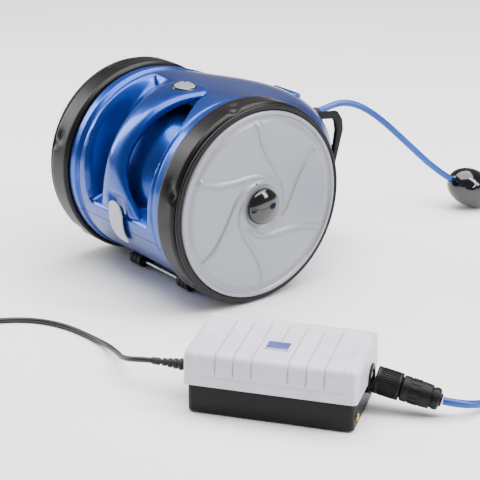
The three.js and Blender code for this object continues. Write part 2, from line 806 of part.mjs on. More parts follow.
// ---------------------------------------------------------------- suction plate, filter and pump
function waterWay() {
  const top = bottomHeight - GAP;
  const lugs = [-1, 1].flatMap((side) =>
    [-1, 1].map((face) => {
      const inner = side * frontRollerOffset + face * (frontRollerLength / 2 + 0.5);
      const ends = [inner, inner + face * 4].sort((a, b) => a - b);
      return box(...ends, -frontRollerAhead - 5, 2 - plateHalfWidth, frontRollerRadius - 4, top);
    }),
  );
  const axleHole = bar(rollerPinRadius + GAP, -plateHalfLength, plateHalfLength, 16).translate(
    0,
    -frontRollerAhead,
    frontRollerRadius,
  );
  const plate = cut(
    join(box(-plateHalfLength, plateHalfLength, -plateHalfWidth, plateHalfWidth, top - 4, top), ...lugs),
    axleHole,
    ...[-1, 1].map((row) =>
      box(
        -slotLength / 2,
        slotLength / 2,
        row * slotOffset - slotWidth / 2,
        row * slotOffset + slotWidth / 2,
        0,
        bottomHeight + 1,
      ),
    ),
  );
  add(model, "suction_plate", plate, blackPlastic);

  // each slot has a flap that water lifts and that falls shut when the cleaner stops
  for (const [name, row] of [
    ["front_intake_flap", -1],
    ["rear_intake_flap", 1],
  ]) {
    const middle = row * slotOffset;
    const body = new THREE.Group();
    model.add(body);
    const reach = slotWidth / 2 + 1.5;
    const flap = box(
      -slotLength / 2 - 1,
      slotLength / 2 + 1,
      middle - reach,
      middle + reach,
      bottomHeight,
      bottomHeight + flapThickness,
    );
    add(body, name, flap, blackRubber);
  }

  // filter basket: an open-topped tray with a mouth over the flaps
  const basketFloor = bottomHeight + wall + 9;
  const basketTop = basketFloor + basketDepth;
  const [basketFront, basketBack] = basketRange;
  const [mouthPast, mouthHalf] = mouthMargin;
  const basket = cut(
    box(-basketHalfLength, basketHalfLength, basketFront, basketBack, basketFloor, basketTop),
    box(
      -basketHalfLength + basketWall,
      basketHalfLength - basketWall,
      basketFront + basketWall,
      basketBack - basketWall,
      basketFloor + basketWall,
      basketTop + 1,
    ),
    box(
      -slotLength / 2 - mouthPast,
      slotLength / 2 + mouthPast,
      -mouthHalf,
      mouthHalf,
      basketFloor - 1,
      basketFloor + basketWall + 1,
    ),
  );
  add(model, "filter_basket", basket, meshPlastic);

  // pump along the cleaner: sealed motor, impeller on its shaft, duct and outlet grille
  const pumpHeight = axleHeight - outletDrop;
  const pumpFrom = basketBack + 4;
  const alongY = (geometry) => geometry.rotateZ(Math.PI / 2).translate(0, 0, pumpHeight);
  const pumpTo = pumpFrom + pumpLength;
  add(model, "pump_motor", alongY(bar(pumpRadius, pumpFrom, pumpTo, 32)), steel);

  const bladeFrom = pumpTo + 8;
  const blades = 4;
  const hub = join(bar(9, bladeFrom, bladeFrom + 18, 24), bar(3, pumpTo + GAP, bladeFrom + 1, 16));
  const wings = [];
  for (let i = 0; i < blades; i++) {
    const wing = new THREE.BoxGeometry(3, 2 * (impellerRadius - 8), 22)
      .rotateY(rad(40))
      .translate(0, impellerRadius - 8, 0)
      .rotateX((2 * Math.PI * i) / blades)
      .translate(bladeFrom + 9, 0, 0);
    wings.push(common(wing, bar(impellerRadius, bladeFrom, bladeFrom + 18, 32)));
  }
  const impellerBody = new THREE.Group();
  model.add(impellerBody);
  add(impellerBody, "impeller", alongY(join(hub, ...wings)), whitePlastic);

  const ductFrom = pumpTo + 2;
  const ductTo = 150;
  const duct = turned(
    [
      [impellerRadius + RUNNING + 1, ductFrom],
      [ductRadius, ductFrom],
      [ductRadius, ductTo - 14],
      [ductRadius - 8, ductTo],
      [ductRadius - 10, ductTo],
      [impellerRadius + RUNNING + 1, ductTo - 14],
    ],
    28,
  );
  add(model, "pump_duct", alongY(duct), blackPlastic);

  const [wide, high] = outletSize;
  const bars = [-2, -1, 0, 1, 2];
  const grille = cut(
    box(-3.5, -0.5, -wide / 2, wide / 2, -high / 2, high / 2),
    ...bars.map((row) => box(-5, 2, 4 - wide / 2, wide / 2 - 4, row * 6.4 - 2.2, row * 6.4 + 2.2)),
  );
  add(model, "outlet_grille", grille.applyMatrix4(outletFrame()), blackPlastic);

  // cable gland in the tail
  const gland = turned(
    [
      [cableDiameter / 2 + GAP, -12],
      [glandRadius, -12],
      [glandRadius, 0],
      [glandFlange - 1, 0.5],
      [glandFlange - 1, 5],
      [7.5, 14],
      [cableDiameter / 2 + GAP, 22],
    ],
    20,
  );
  add(model, "cable_gland", gland.applyMatrix4(glandFrame()), blackRubber);
}

// ---------------------------------------------------------------- rollers and the rear bracket
function rollers() {
  const [frontY, frontZ] = [-frontRollerAhead, frontRollerRadius];
  const bore = rollerPinRadius + RUNNING / 2;
  for (const [name, side] of [
    ["left_front_roller", -1],
    ["right_front_roller", 1],
  ]) {
    const body = new THREE.Group();
    body.position.set(side * frontRollerOffset, frontY, frontZ);
    model.add(body);
    add(body, name, roller(frontRollerRadius, frontRollerLength, bore), blackRubber);
  }
  const axleHalf = frontRollerOffset + frontRollerLength / 2 + 6;
  const frontAxle = bar(rollerPinRadius, -axleHalf, axleHalf, 16).translate(0, frontY, frontZ);
  add(model, "front_roller_axle", frontAxle, steel);

  const body = new THREE.Group();
  body.position.set(0, tailRollerBehind, tailRollerRadius);
  model.add(body);
  add(body, "tail_roller", roller(tailRollerRadius, tailRollerLength, bore), blackRubber);

  const armHalf = tailRollerLength / 2 + 1;
  const pinHalf = armHalf + strapWidth;
  const pin = bar(rollerPinRadius, -pinHalf, pinHalf, 16).translate(0, tailRollerBehind, tailRollerRadius);
  const reach = bracketBehind;
  const strap = [
    [reach - 14, axleHeight + 62],
    [reach + 26, axleHeight + 57],
    [reach + 34, axleHeight + 45],
    [reach + 36, axleHeight + 30],
    [reach + 28, axleHeight + 2],
    [tailRollerBehind + 9, 20],
    [tailRollerBehind + 8, 4],
    [tailRollerBehind - 6, 4],
    [tailRollerBehind - 6, 18],
    [reach + 17, axleHeight - 24],
    [reach - 20, axleHeight - 24],
    [reach - 20, axleHeight - 16],
    [reach + 18, axleHeight - 16],
    [reach + 25, axleHeight + 30],
    [reach + 23, axleHeight + 42],
    [reach + 20, axleHeight + 48],
    [reach - 14, axleHeight + 53],
  ];
  const arms = [slice(strap, armHalf, armHalf + strapWidth), slice(strap, -armHalf - strapWidth, -armHalf)];
  const crossBar = box(-armHalf - 1, armHalf + 1, reach + 18, reach + 25, axleHeight - 8, axleHeight + 8);
  const bracket = cut(
    join(...arms, crossBar),
    casingSolid(-1, barrelHalfLength),
    bar(rollerPinRadius + GAP, -60, 60, 16).translate(0, tailRollerBehind, tailRollerRadius),
  );
  add(model, "tail_bracket", bracket, blackPlastic);
  add(model, "tail_roller_pin", pin, steel);
}

// A roller along X about its own centre.
const roller = (radius, length, bore) =>
  turned(
    [
      [bore, -length / 2],
      [radius, -length / 2],
      [radius, length / 2],
      [bore, length / 2],
    ],
    24,
  );

// ---------------------------------------------------------------- power supply
// Built along its own X with its middle on the floor, then turned and moved to its place.
const supply = new THREE.Group();
const supplyMiddle = new THREE.Vector3(supplyLength / 2, supplyDepth / 2, 0)
  .applyAxisAngle(Z_AXIS, rad(supplyTurn))
  .add(new THREE.Vector3(...supplyCorner, 0));
supply.rotation.z = rad(supplyTurn);
supply.position.copy(supplyMiddle);

function powerSupply() {
  model.add(supply);
  const [baseLength, baseDepth] = [supplyLength - 2 * supplyInset, supplyDepth - 2 * supplyInset];
  const lidHeight = supplyHeight - supplyBaseHeight;
  const hollow = (length, depth, height, corner, floor) => {
    const [innerLength, innerDepth] = [length - 2 * supplyWall, depth - 2 * supplyWall];
    return roundedBlock(innerLength, innerDepth, height, corner - 1).translate(0, 0, floor);
  };
  const portHeight = socketPlace[1];
  const ports = [
    bar(connectorRadius + 1.5 + GAP, supplyLength / 2 - 22, supplyLength / 2 + 10, 24).translate(
      0,
      socketPlace[0],
      portHeight,
    ),
    bar(7.5 + GAP, -supplyLength / 2 - 10, -supplyLength / 2 + 22, 20).translate(
      0,
      reliefPlace[0],
      reliefPlace[1],
    ),
  ];
  const base = cut(
    roundedBlock(baseLength, baseDepth, supplyBaseHeight - footHeight, 6).translate(0, 0, footHeight),
    hollow(baseLength, baseDepth, supplyBaseHeight, 6, footHeight + supplyWall),
    ...ports,
  );
  add(supply, "supply_base", base, blackPlastic);

  const lidFrom = supplyBaseHeight + GAP;
  const bevel = 4;
  const lidShape = roundedBlock(supplyLength, supplyDepth, lidHeight + bevel, 9, bevel).translate(
    0,
    0,
    lidFrom - bevel,
  );
  const below = box(-supplyLength, supplyLength, -supplyDepth, supplyDepth, 0, lidFrom);
  const cuts = [];
  const pitch = (supplyLength - 30) / grooveCount;
  for (let i = 0; i <= grooveCount; i++) {
    const x = (i - grooveCount / 2) * pitch;
    cuts.push(box(x - 0.9, x + 0.9, -supplyDepth, 34, supplyHeight - 1, supplyHeight + 2));
  }
  const lid = cut(
    lidShape,
    hollow(supplyLength, supplyDepth, lidHeight - supplyWall, 9, supplyBaseHeight - 1),
    below,
    ...ports,
    ...cuts,
  );
  add(supply, "supply_lid", lid, whitePlastic);
  add(
    supply,
    "supply_badge",
    roundedBlock(26, 13, 1.2, 2).translate(0, -4, supplyHeight + GAP),
    badgePlastic,
  );

  for (const side of [-1, 1]) {
    const foot = roundedBlock(14, baseDepth - 20, footHeight - GAP, 4).translate(side * footPlace, 0, 0);
    add(supply, side < 0 ? "supply_left_foot" : "supply_right_foot", foot, blackRubber);
  }

  const floor = footHeight + supplyWall + GAP;
  const core = cut(
    box(-32, 32, -28, 28, floor, floor + 52),
    box(-22, -10, -40, 40, floor + 10, floor + 42),
    box(10, 22, -40, 40, floor + 10, floor + 42),
  );
  add(supply, "supply_transformer_core", core, steel);
  const winding = cut(
    box(-21.7, 21.7, -38, 38, floor + 10.3, floor + 41.7),
    box(-9.7 - GAP, 9.7 + GAP, -28.3, 28.3, floor, floor + 60),
  );
  add(supply, "supply_transformer_winding", winding, copper);

  add(
    supply,
    "supply_screw_cap",
    bar(4.5, baseLength / 2 + GAP, baseLength / 2 + 2.5, 20).translate(0, -supplyDepth / 2 + 18, 14),
    brass,
  );

  // chassis socket in the right end
  const socketFrom = supplyLength / 2 - 20;
  const socket = turned(
    [
      [connectorRadius - 3, socketFrom],
      [connectorRadius + 1.5, socketFrom],
      [connectorRadius + 1.5, supplyLength / 2 + 2],
      [connectorRadius - 3, supplyLength / 2 + 2],
    ],
    28,
  ).translate(0, socketPlace[0], portHeight);
  add(supply, "supply_socket", socket, blackPlastic);

  // cable connector that plugs into it, drooping a little under the weight of its cable
  const plugged = new THREE.Group();
  plugged.position.set(supplyLength / 2 + 6, socketPlace[0], portHeight);
  plugged.rotation.y = rad(connectorDroop);
  supply.add(plugged);
  const r = connectorRadius;
  const body = turned(
    [
      [0, 1],
      [r - 3, 1],
      [r - 3, 30],
      [r, 30.3],
      [r, 52],
      [r - 4, 56],
      [r - 1.5, 58],
      [r - 1.5, 66],
      [cableDiameter / 2 + 1.5, connectorLength],
      [0, connectorLength],
    ],
    24,
  );
  add(plugged, "connector_body", body, blackPlastic);
  const ring = turned(
    [
      [r - 3 + RUNNING / 2, 2],
      [r + 1.5, 2],
      [r + 1.5, 28],
      [r - 3 + RUNNING / 2, 28],
    ],
    32,
  );
  add(plugged, "connector_ring", ring, blackPlastic);

  const end = -supplyLength / 2;
  const relief = [
    [0, end + 12],
    [6.5, end + 12],
    [6.5, end - 1],
    [8, end - 1],
    [8, end - 12],
    [leadDiameter / 2 + 1, end - reliefLength],
    [0, end - reliefLength],
  ];
  const reliefPart = turned(relief, 20).translate(0, reliefPlace[0], reliefPlace[1]);
  add(supply, "supply_strain_relief", reliefPart, blackRubber);
}

// ---------------------------------------------------------------- cords
function coilRing({ centre, middleRadius, wide, high }) {
  const [low, top] = [middleRadius - wide / 2, middleRadius + wide / 2];
  const ring = turned(
    [
      [low, 0],
      [top, 0],
      [top, high],
      [low, high],
    ],
    40,
  );
  return ring.rotateY(-Math.PI / 2).translate(centre[0], centre[1], 0);
}

function cords() {
  const names = [];
  const addCord = (name, geometry, material) => {
    names.push(name);
    return add(model, name, geometry, material);
  };
  addCord("cable_to_float", cordTube(cableToFloat, cableDiameter, 18, 8), blueRubber);
  addCord("cable_from_float", cordTube(cableFromFloat, cableDiameter, 18, 8), blueRubber);
  addCord("cable_coil", coilRing(cableCoil), blueRubber);
  addCord("cable_to_supply", cordTube(cableToSupply, cableDiameter, 24, 8), blueRubber);

  const buoy = pointing(floatPlace, floatDirection);
  model.add(buoy);
  const profile = [];
  const bands = 8;
  for (let i = 0; i <= bands; i++) {
    const turn = Math.PI * (i / bands);
    profile.push([floatRadius * Math.sin(turn), (-floatLength / 2) * Math.cos(turn)]);
  }
  profile[0][0] = 0;
  profile[bands][0] = 0;
  names.push("cable_float");
  add(buoy, "cable_float", turned(profile, 20), blackPlastic);

  addCord("mains_lead", cordTube(leadRoute, leadDiameter, 29, 8), blackRubber);
  addCord("mains_lead_coil", coilRing(leadCoil), blackRubber);

  // two-pin mains plug beside the coil
  const outline = new THREE.Shape();
  outline.moveTo(0, -5);
  outline.lineTo(8, -6);
  outline.lineTo(plugBodyLength - 8, -17.5);
  outline.lineTo(plugBodyLength, -17.5);
  outline.lineTo(plugBodyLength, 17.5);
  outline.lineTo(plugBodyLength - 8, 17.5);
  outline.lineTo(8, 6);
  outline.lineTo(0, 5);
  const moulding = new THREE.ExtrudeGeometry(outline, {
    depth: 10,
    bevelEnabled: true,
    bevelSize: 1.4,
    bevelThickness: 1.8,
    bevelSegments: 1,
  }).translate(0, 0, -5);
  const sleeve = turned(
    [
      [0, -24],
      [3.8, -24],
      [5.2, 2],
      [0, 2],
    ],
    16,
  );
  const pinEnd = plugBodyLength + plugPinLength;
  const pins = [-9.3, 9.3].map((y) => bar(2, plugBodyLength, pinEnd, 12).translate(0, y, 0));
  const plug = join(moulding, sleeve, ...pins);
  const holder = pointing(
    [leadCoil.centre[0] + plugOffset[0], leadCoil.centre[1] + plugOffset[1], plugHeight],
    [-1, 0, 0],
  );
  model.add(holder);
  names.push("mains_plug");
  add(holder, "mains_plug", plug, blackPlastic);
  return names;
}

runningGear("right");
runningGear("left");
casing();
waterWay();
rollers();
powerSupply();
const onTheCords = [...cords(), "connector_body", "connector_ring"];

// The finished object's origin is at the middle of the underside of everything but the cords.
model.updateMatrixWorld(true);
const extent = new THREE.Box3();
model.traverse((part) => {
  if (part.isMesh && !onTheCords.includes(part.name)) extent.expandByObject(part, true);
});
const middle = extent.getCenter(new THREE.Vector3());
model.position.set(-middle.x, -middle.y, -extent.min.z);

export default model;
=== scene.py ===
# Looks of a robotic pool cleaner, its floating cable and its mains power supply.
import math

import bmesh
import bpy
from mathutils import Matrix, Vector


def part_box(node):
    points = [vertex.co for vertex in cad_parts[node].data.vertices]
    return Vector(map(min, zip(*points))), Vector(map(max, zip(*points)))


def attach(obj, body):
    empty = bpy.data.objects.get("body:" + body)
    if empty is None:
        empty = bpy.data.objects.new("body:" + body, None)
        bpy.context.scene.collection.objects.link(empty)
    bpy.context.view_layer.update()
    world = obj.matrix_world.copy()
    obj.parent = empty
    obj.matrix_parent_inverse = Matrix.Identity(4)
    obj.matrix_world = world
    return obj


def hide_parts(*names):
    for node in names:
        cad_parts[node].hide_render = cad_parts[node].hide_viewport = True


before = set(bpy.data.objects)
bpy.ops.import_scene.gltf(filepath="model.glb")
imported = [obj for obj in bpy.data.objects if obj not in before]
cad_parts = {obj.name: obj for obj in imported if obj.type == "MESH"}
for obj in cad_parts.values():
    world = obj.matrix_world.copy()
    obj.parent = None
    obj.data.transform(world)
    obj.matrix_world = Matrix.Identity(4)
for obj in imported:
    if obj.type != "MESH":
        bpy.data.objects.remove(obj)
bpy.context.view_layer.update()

MM = 0.001

# ---- places taken from the frame
# Shapes are drawn in millimetres about the cleaner's own point: the floor under the middle of the
# axle, +X along the axle, +Y towards the tail, +Z up.
near_tyre, far_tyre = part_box("right_tyre"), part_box("left_tyre")
WHEEL_RADIUS = (near_tyre[1].z - near_tyre[0].z) / 2 / MM
AXLE_HEIGHT = WHEEL_RADIUS
OWN_POINT = Vector(((near_tyre[1].x + far_tyre[0].x) / 2, (near_tyre[0].y + near_tyre[1].y) / 2, 0))
TYRE_INNER = (near_tyre[0].x - OWN_POINT.x) / MM
TYRE_OUTER = (near_tyre[1].x - OWN_POINT.x) / MM


def framed(point):
    """A point in millimetres about the cleaner's own point, in the frame's metres."""
    return OWN_POINT + Vector(point) * MM


def local_box(node):
    """A node's box in millimetres about the cleaner's own point."""
    low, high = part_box(node)
    return (low - OWN_POINT) / MM, (high - OWN_POINT) / MM


def on_axle(angle, radius, x):
    """The point at an angle about the axle, from the rear over the top, at a radius and a place x."""
    turn = math.radians(angle)
    return Vector((x, radius * math.cos(turn), AXLE_HEIGHT + radius * math.sin(turn)))


def smooth(low, high, value):
    share = min(1.0, max(0.0, (value - low) / (high - low)))
    return share * share * (3 - 2 * share)


def linked(name, data):
    """A new object with that data, in the scene."""
    made = bpy.data.objects.new(name, data)
    bpy.context.scene.collection.objects.link(made)
    return made


# ---- casing dimensions, as in the CAD part
BARREL_RADIUS = 122.0
BARREL_HALF = 99.5
TAIL_REACH, TAIL_ANGLE, TAIL_SPREAD, TAIL_HALF = 78.0, 8.0, 37.0, 104.0
WALL = 3.0
BOTTOM_HEIGHT = 13.0
POCKET_DEPTH, POCKET_FROM, POCKET_TO = 33.0, 91.5, 193.5
HANDLE_RADIUS, HANDLE_THICKNESS, HANDLE_HALF = 126.0, 15.0, 20.5
HINGE_ANGLE, HINGE_SINK = 28.0, 1.0
SUPPLY_TURN = 35.7
CABLE_DIAMETER, LEAD_DIAMETER = 9.2, 6.4


def casing_radius(angle, x):
    away = (angle - TAIL_ANGLE + 180) % 360 - 180
    plan = math.sqrt(max(0.0, 1 - (x / TAIL_HALF) ** 2))
    return BARREL_RADIUS + TAIL_REACH * plan * math.exp(-((away / TAIL_SPREAD) ** 2))


# ---- camera
CAMERA_AZIMUTH, CAMERA_ELEVATION = 52.08, 21.30
CAMERA_DISTANCE = 16.949  # wheel radii from the axle's middle
CAMERA_ASIDE, CAMERA_UP = 0.483, -0.648  # how far it is moved sideways and up, in wheel radii
CAMERA_LENS = 126.75


def make_camera():
    az, el = math.radians(CAMERA_AZIMUTH), math.radians(CAMERA_ELEVATION)
    back = Vector((math.sin(az) * math.cos(el), -math.cos(az) * math.cos(el), math.sin(el)))
    right = Vector((math.cos(az), math.sin(az), 0))
    up = back.cross(right)
    data = bpy.data.cameras.new("camera")
    data.lens = CAMERA_LENS
    camera = linked("camera", data)
    axle = framed((0, 0, AXLE_HEIGHT))
    unit = WHEEL_RADIUS * MM
    place = axle + (back * CAMERA_DISTANCE + right * CAMERA_ASIDE + up * CAMERA_UP) * unit
    camera.matrix_world = Matrix([(right[i], up[i], back[i], place[i]) for i in range(3)] + [(0, 0, 0, 1)])
    bpy.context.scene.camera = camera


# ---- material helpers
def linear(hex_colour):
    """An sRGB hex colour as linear RGBA."""
    values = [int(hex_colour[i : i + 2], 16) / 255 for i in (1, 3, 5)]
    return tuple(v / 12.92 if v <= 0.04045 else ((v + 0.055) / 1.055) ** 2.4 for v in values) + (1.0,)


def add(tree, kind, inputs=None, **settings):
    """Adds one node: settings are its attributes, and each input is a value or the socket that feeds it."""
    made = tree.nodes.new(kind)
    for name, value in settings.items():
        setattr(made, name, value)
    for name, value in (inputs or {}).items():
        if isinstance(value, bpy.types.NodeSocket):
            tree.links.new(value, made.inputs[name])
        else:
            made.inputs[name].default_value = value
    return made


def new_material(name, **sockets):
    """A material with one Principled shader; numbers that are the same all over are set on its sockets."""
    material = bpy.data.materials.new(name)
    material.use_nodes = True
    shader = material.node_tree.nodes["Principled BSDF"]
    for socket, value in sockets.items():
        shader.inputs[socket.replace("_", " ")].default_value = value
    return material, material.node_tree, shader


def per_metre(millimetres):
    """A texture's scale for a pattern of that size."""
    return 1000.0 / millimetres


def lay_on(tree, shader, share, dark, light, relief, depth_mm, strength):
    """Colours a surface from dark to light by one pattern and raises it by another."""
    ends = {"Factor": share, "A": linear(dark), "B": linear(light)}
    colour = add(tree, "ShaderNodeMix", ends, data_type="RGBA").outputs["Result"]
    height = {"Height": relief, "Distance": depth_mm * MM, "Strength": strength}
    tree.links.new(colour, shader.inputs["Base Color"])
    tree.links.new(add(tree, "ShaderNodeBump", height).outputs["Normal"], shader.inputs["Normal"])


def vary_gloss(tree, shader, pattern, low, high, least, most):
    """Takes the roughness from least to most as a pattern goes from low to high."""
    ends = {"Value": pattern, "From Min": low, "From Max": high, "To Min": least, "To Max": most}
    tree.links.new(add(tree, "ShaderNodeMapRange", ends).outputs["Result"], shader.inputs["Roughness"])


# ---- materials
def cloudy(name, dark, light, patches, gloss, grain, **sockets):
    """A surface with patches of colour, slow differences in gloss and a fine grain.

    patches: (millimetres, detail, weight) for each pattern, of which the last sets the gloss too;
    gloss: what vary_gloss takes, or nothing; grain: (millimetres, detail, roughness, depth, strength).
    """
    material, tree, shader = new_material(name, **sockets)
    where = add(tree, "ShaderNodeTexCoord").outputs["Object"]
    share = 0.0
    for size, detail, weight in patches:
        settings = {"Vector": where, "Scale": per_metre(size), "Detail": detail}
        pattern = add(tree, "ShaderNodeTexNoise", settings).outputs["Fac"]
        ends = {"Value": pattern, "From Min": 0.3, "From Max": 0.7, "To Max": weight}
        patch = add(tree, "ShaderNodeMapRange", ends).outputs["Result"]
        share = add(tree, "ShaderNodeMath", {0: share, 1: patch}).outputs[0]
    if gloss:
        vary_gloss(tree, shader, pattern, *gloss)
    size, detail, roughness, depth, strength = grain
    settings = {"Vector": where, "Scale": per_metre(size), "Detail": detail, "Roughness": roughness}
    relief = add(tree, "ShaderNodeTexNoise", settings).outputs["Fac"]
    lay_on(tree, shader, share, dark, light, relief, depth, strength)
    return material


def grained(name, dark, light, roughness, grain_mm, depth_mm, ior=1.5, coat=0.0):
    """Moulded plastic or rubber: a fine grain from the mould, and broad slight differences in gloss."""
    gloss = (0.25, 0.75, roughness - 0.05, roughness + 0.06)
    grain = (grain_mm, 3.0, 0.6, depth_mm, 0.8)
    sockets = {"Roughness": roughness, "IOR": ior, "Coat_Weight": coat}
    return cloudy(name, dark, light, [(35.0, 3.0, 1.0)], gloss, grain, **sockets)


def turned_metal(name, dark, light, roughness, groove_mm):
    """Metal turned on a lathe: fine rings round the piece and small differences in gloss."""
    material, tree, shader = new_material(name, Metallic=1.0, Roughness=roughness)
    where = add(tree, "ShaderNodeTexCoord").outputs["Object"]
    drawn = add(tree, "ShaderNodeMapping", {"Vector": where, "Scale": (8.0, 1.0, 1.0)}).outputs["Vector"]
    settings = {"Vector": drawn, "Scale": per_metre(groove_mm * 8), "Detail": 3.0, "Roughness": 0.6}
    marks = add(tree, "ShaderNodeTexNoise", settings).outputs["Fac"]
    vary_gloss(tree, shader, marks, 0.3, 0.7, roughness - 0.07, roughness + 0.08)
    lay_on(tree, shader, marks, dark, light, marks, 0.01, 0.4)
    return material


def bands(tree, size_mm, axes, distortion=0.0):
    """Light and dark bands across each axis, laid over one another."""
    where = add(tree, "ShaderNodeTexCoord").outputs["Object"]
    total = 0.0
    for axis in axes:
        wave = {"Vector": where, "Scale": per_metre(size_mm) / 20, "Distortion": distortion}
        line = add(tree, "ShaderNodeTexWave", wave, bands_direction=axis).outputs["Fac"]
        total = add(tree, "ShaderNodeMath", {0: total, 1: line}, operation="MAXIMUM").outputs[0]
    return total


def woven_basket():
    # moulded polypropylene mesh: 2.4 mm cells, drawn as raised strands, with painted shade on the lower
    # ground between them
    material, tree, shader = new_material("moulded_polypropylene_mesh", Roughness=0.55, IOR=1.49)
    ends = {"Value": bands(tree, 2.4, "XYZ"), "From Min": 0.6, "From Max": 0.9}
    share = add(tree, "ShaderNodeMapRange", ends).outputs["Result"]
    # painted shade: the colour follows the relief and is darker where the ground lies low between the strands
    lay_on(tree, shader, share, "#8f8e88", "#dcdbd3", share, 0.3, 0.8)
    return material


def wound_copper():
    # enamelled copper wire, 0.8 mm, side by side under varnish; the colour follows the wires' relief, with a
    # painted highlight on each turn's crown and painted shade in the hollows between turns
    material, tree, shader = new_material("enamelled_copper_winding", Metallic=0.9, Roughness=0.3)
    wire_relief_and_shade = bands(tree, 0.8, "Z", 0.4)
    # painted highlight and shade: the bands that raise the wires also make their crowns lighter and the
    # hollows between them darker
    lay_on(tree, shader, wire_relief_and_shade, "#4a2113", "#b5643c", wire_relief_and_shade, 0.2, 0.9)
    return material


# ABS with a metallic blue lacquer under clear coat: deep colour, soft wide highlights, fine flakes, and
# the orange peel of sprayed lacquer, about 4 mm from crest to crest
BLUE = cloudy(
    "lacquered_abs_pearl_blue", "#0a2f86", "#1550b0", [(0.7, 1.0, 0.35), (60.0, 2.0, 0.4)],
    (0.2, 0.8, 0.26, 0.34), (4.0, 1.0, 0.5, 0.01, 0.5),
    Metallic=0.8, Roughness=0.3, Coat_Weight=0.5, Coat_Roughness=0.1, IOR=1.5,
)
# silver paint on ABS: even grey with fine flakes and a broad sheen
SILVER = cloudy(
    "painted_abs_satin_silver", "#85878f", "#989aa3", [(0.6, 1.0, 1.0)], None, (0.9, 2.0, 0.5, 0.006, 0.6),
    Metallic=0.35, Roughness=0.4, IOR=1.5, Coat_Weight=0.2, Coat_Roughness=0.3,
)
# light grey ABS from a spark-eroded mould: even and satin
GREY = grained("moulded_abs_light_grey", "#a9adb8", "#b9bcc6", 0.42, 0.8, 0.008)
# black polypropylene: slightly grey where light grazes it
BLACK = grained("moulded_polypropylene_black", "#060507", "#0b0a0c", 0.46, 0.9, 0.015, ior=1.3)
# polished black ABS: sharp highlights
GLOSS = grained("polished_abs_black", "#050406", "#09080a", 0.14, 3.0, 0.002, coat=0.5)
# moulded tyre rubber: brown-black, soft sheen with cloudy patches
TYRE = grained("moulded_rubber_tyre", "#0a0708", "#120d0f", 0.34, 1.4, 0.03, ior=1.32)
# soft rubber: matt and dark
RUBBER = grained("moulded_rubber_matt", "#09080a", "#110f11", 0.6, 0.8, 0.02, ior=1.52)
# polyurethane cable jacket: strong blue, satin
JACKET = grained("extruded_polyurethane_blue", "#0a3a90", "#114ba6", 0.34, 1.2, 0.01, ior=1.5)
# PVC lead: black, slightly glossy
LEAD = grained("extruded_pvc_black", "#08080a", "#100f12", 0.4, 1.0, 0.01, ior=1.52)
# off-white ABS with a lilac cast, fine spark grain
WHITE = grained("moulded_abs_off_white", "#c6c3d0", "#d3d0db", 0.42, 0.8, 0.012)
# printed polyester label, satin
LABEL = grained("printed_polyester_label", "#3c4784", "#4a5692", 0.35, 2.0, 0.004)
# stainless steel from the lathe: bright, with fine rings
STEEL = turned_metal("turned_stainless_steel", "#8d8e91", "#c3c4c7", 0.28, 0.3)
# sintered bronze bushes: brown and nearly matt
BRONZE = turned_metal("sintered_bronze", "#7d5f36", "#a17f4d", 0.45, 0.5)
# turned brass: warm and bright
BRASS = turned_metal("turned_brass", "#a07c34", "#d6b468", 0.28, 0.3)
COPPER = wound_copper()
MESH = woven_basket()


# ---- mesh helpers
def new_object(name, vertices, faces, material, smooth_angle=35.0):
    """A mesh object from points in millimetres about the cleaner's own point."""
    mesh = bpy.data.meshes.new(name)
    mesh.from_pydata([framed(v) for v in vertices], [], faces)
    mesh.materials.append(material)
    made = linked(name, mesh)
    tidy_mesh(made, smooth_angle)
    return made


def tidy_mesh(made, smooth_angle):
    """Merges doubles, turns the faces outwards and shades smooth across gentle edges."""
    work = bmesh.new()
    work.from_mesh(made.data)
    bmesh.ops.remove_doubles(work, verts=work.verts, dist=0.005 * MM)
    bmesh.ops.recalc_face_normals(work, faces=work.faces)
    limit = math.radians(smooth_angle)
    for face in work.faces:
        face.smooth = True
    for edge in work.edges:
        edge.smooth = len(edge.link_faces) == 2 and edge.calc_face_angle(0) < limit
    work.to_mesh(made.data)
    work.free()
    made.data.update()


def freeze(made):
    """Turns a piece with live modifiers into a plain mesh."""
    evaluated = made.evaluated_get(bpy.context.evaluated_depsgraph_get())
    result = bpy.data.meshes.new_from_object(evaluated)
    made.modifiers.clear()
    made.data = result


def modify(made, kind, **settings):
    """Adds one modifier and applies it."""
    modifier = made.modifiers.new(kind.lower(), kind)
    for name, value in settings.items():
        setattr(modifier, name, value)
    freeze(made)


def face_outwards(made, middle):
    """Turns an open skin's faces away from a point inside it."""
    if sum(face.normal.dot(face.center - middle) for face in made.data.polygons) < 0:
        made.data.flip_normals()


def quads(rows, width, round_rows=True, round_width=True):
    """Faces between rows of points; the rows and the points of each row may close up in a round."""
    faces = []
    for i in range(rows if round_rows else rows - 1):
        k = (i + 1) % rows
        for j in range(width if round_width else width - 1):
            m = (j + 1) % width
            faces.append((i * width + j, i * width + m, k * width + m, k * width + j))
    return faces


def squared_circle(steps, power):
    """Points round a unit circle, drawn out towards a square by a power below 1."""
    turns = [2 * math.pi * k / steps for k in range(steps)]
    pairs = [(math.cos(turn), math.sin(turn)) for turn in turns]
    return [[math.copysign(abs(v) ** power, v) for v in pair] for pair in pairs]


def ring_object(name, sections, material, smooth_angle=35.0):
    """An object out of closed sections, one for each step round the X axis."""
    vertices = [p for section in sections for p in section]
    return new_object(name, vertices, quads(len(sections), len(sections[0])), material, smooth_angle)


def lofted(name, sections, material, smooth_angle=50, closed=True):
    """A solid through a row of sections, with a flat face at each end."""
    count, width = len(sections), len(sections[0])
    faces = quads(count, width, False, closed)
    faces += [tuple(range(width)), tuple(range((count - 1) * width, count * width))]
    return new_object(name, [p for section in sections for p in section], faces, material, smooth_angle)


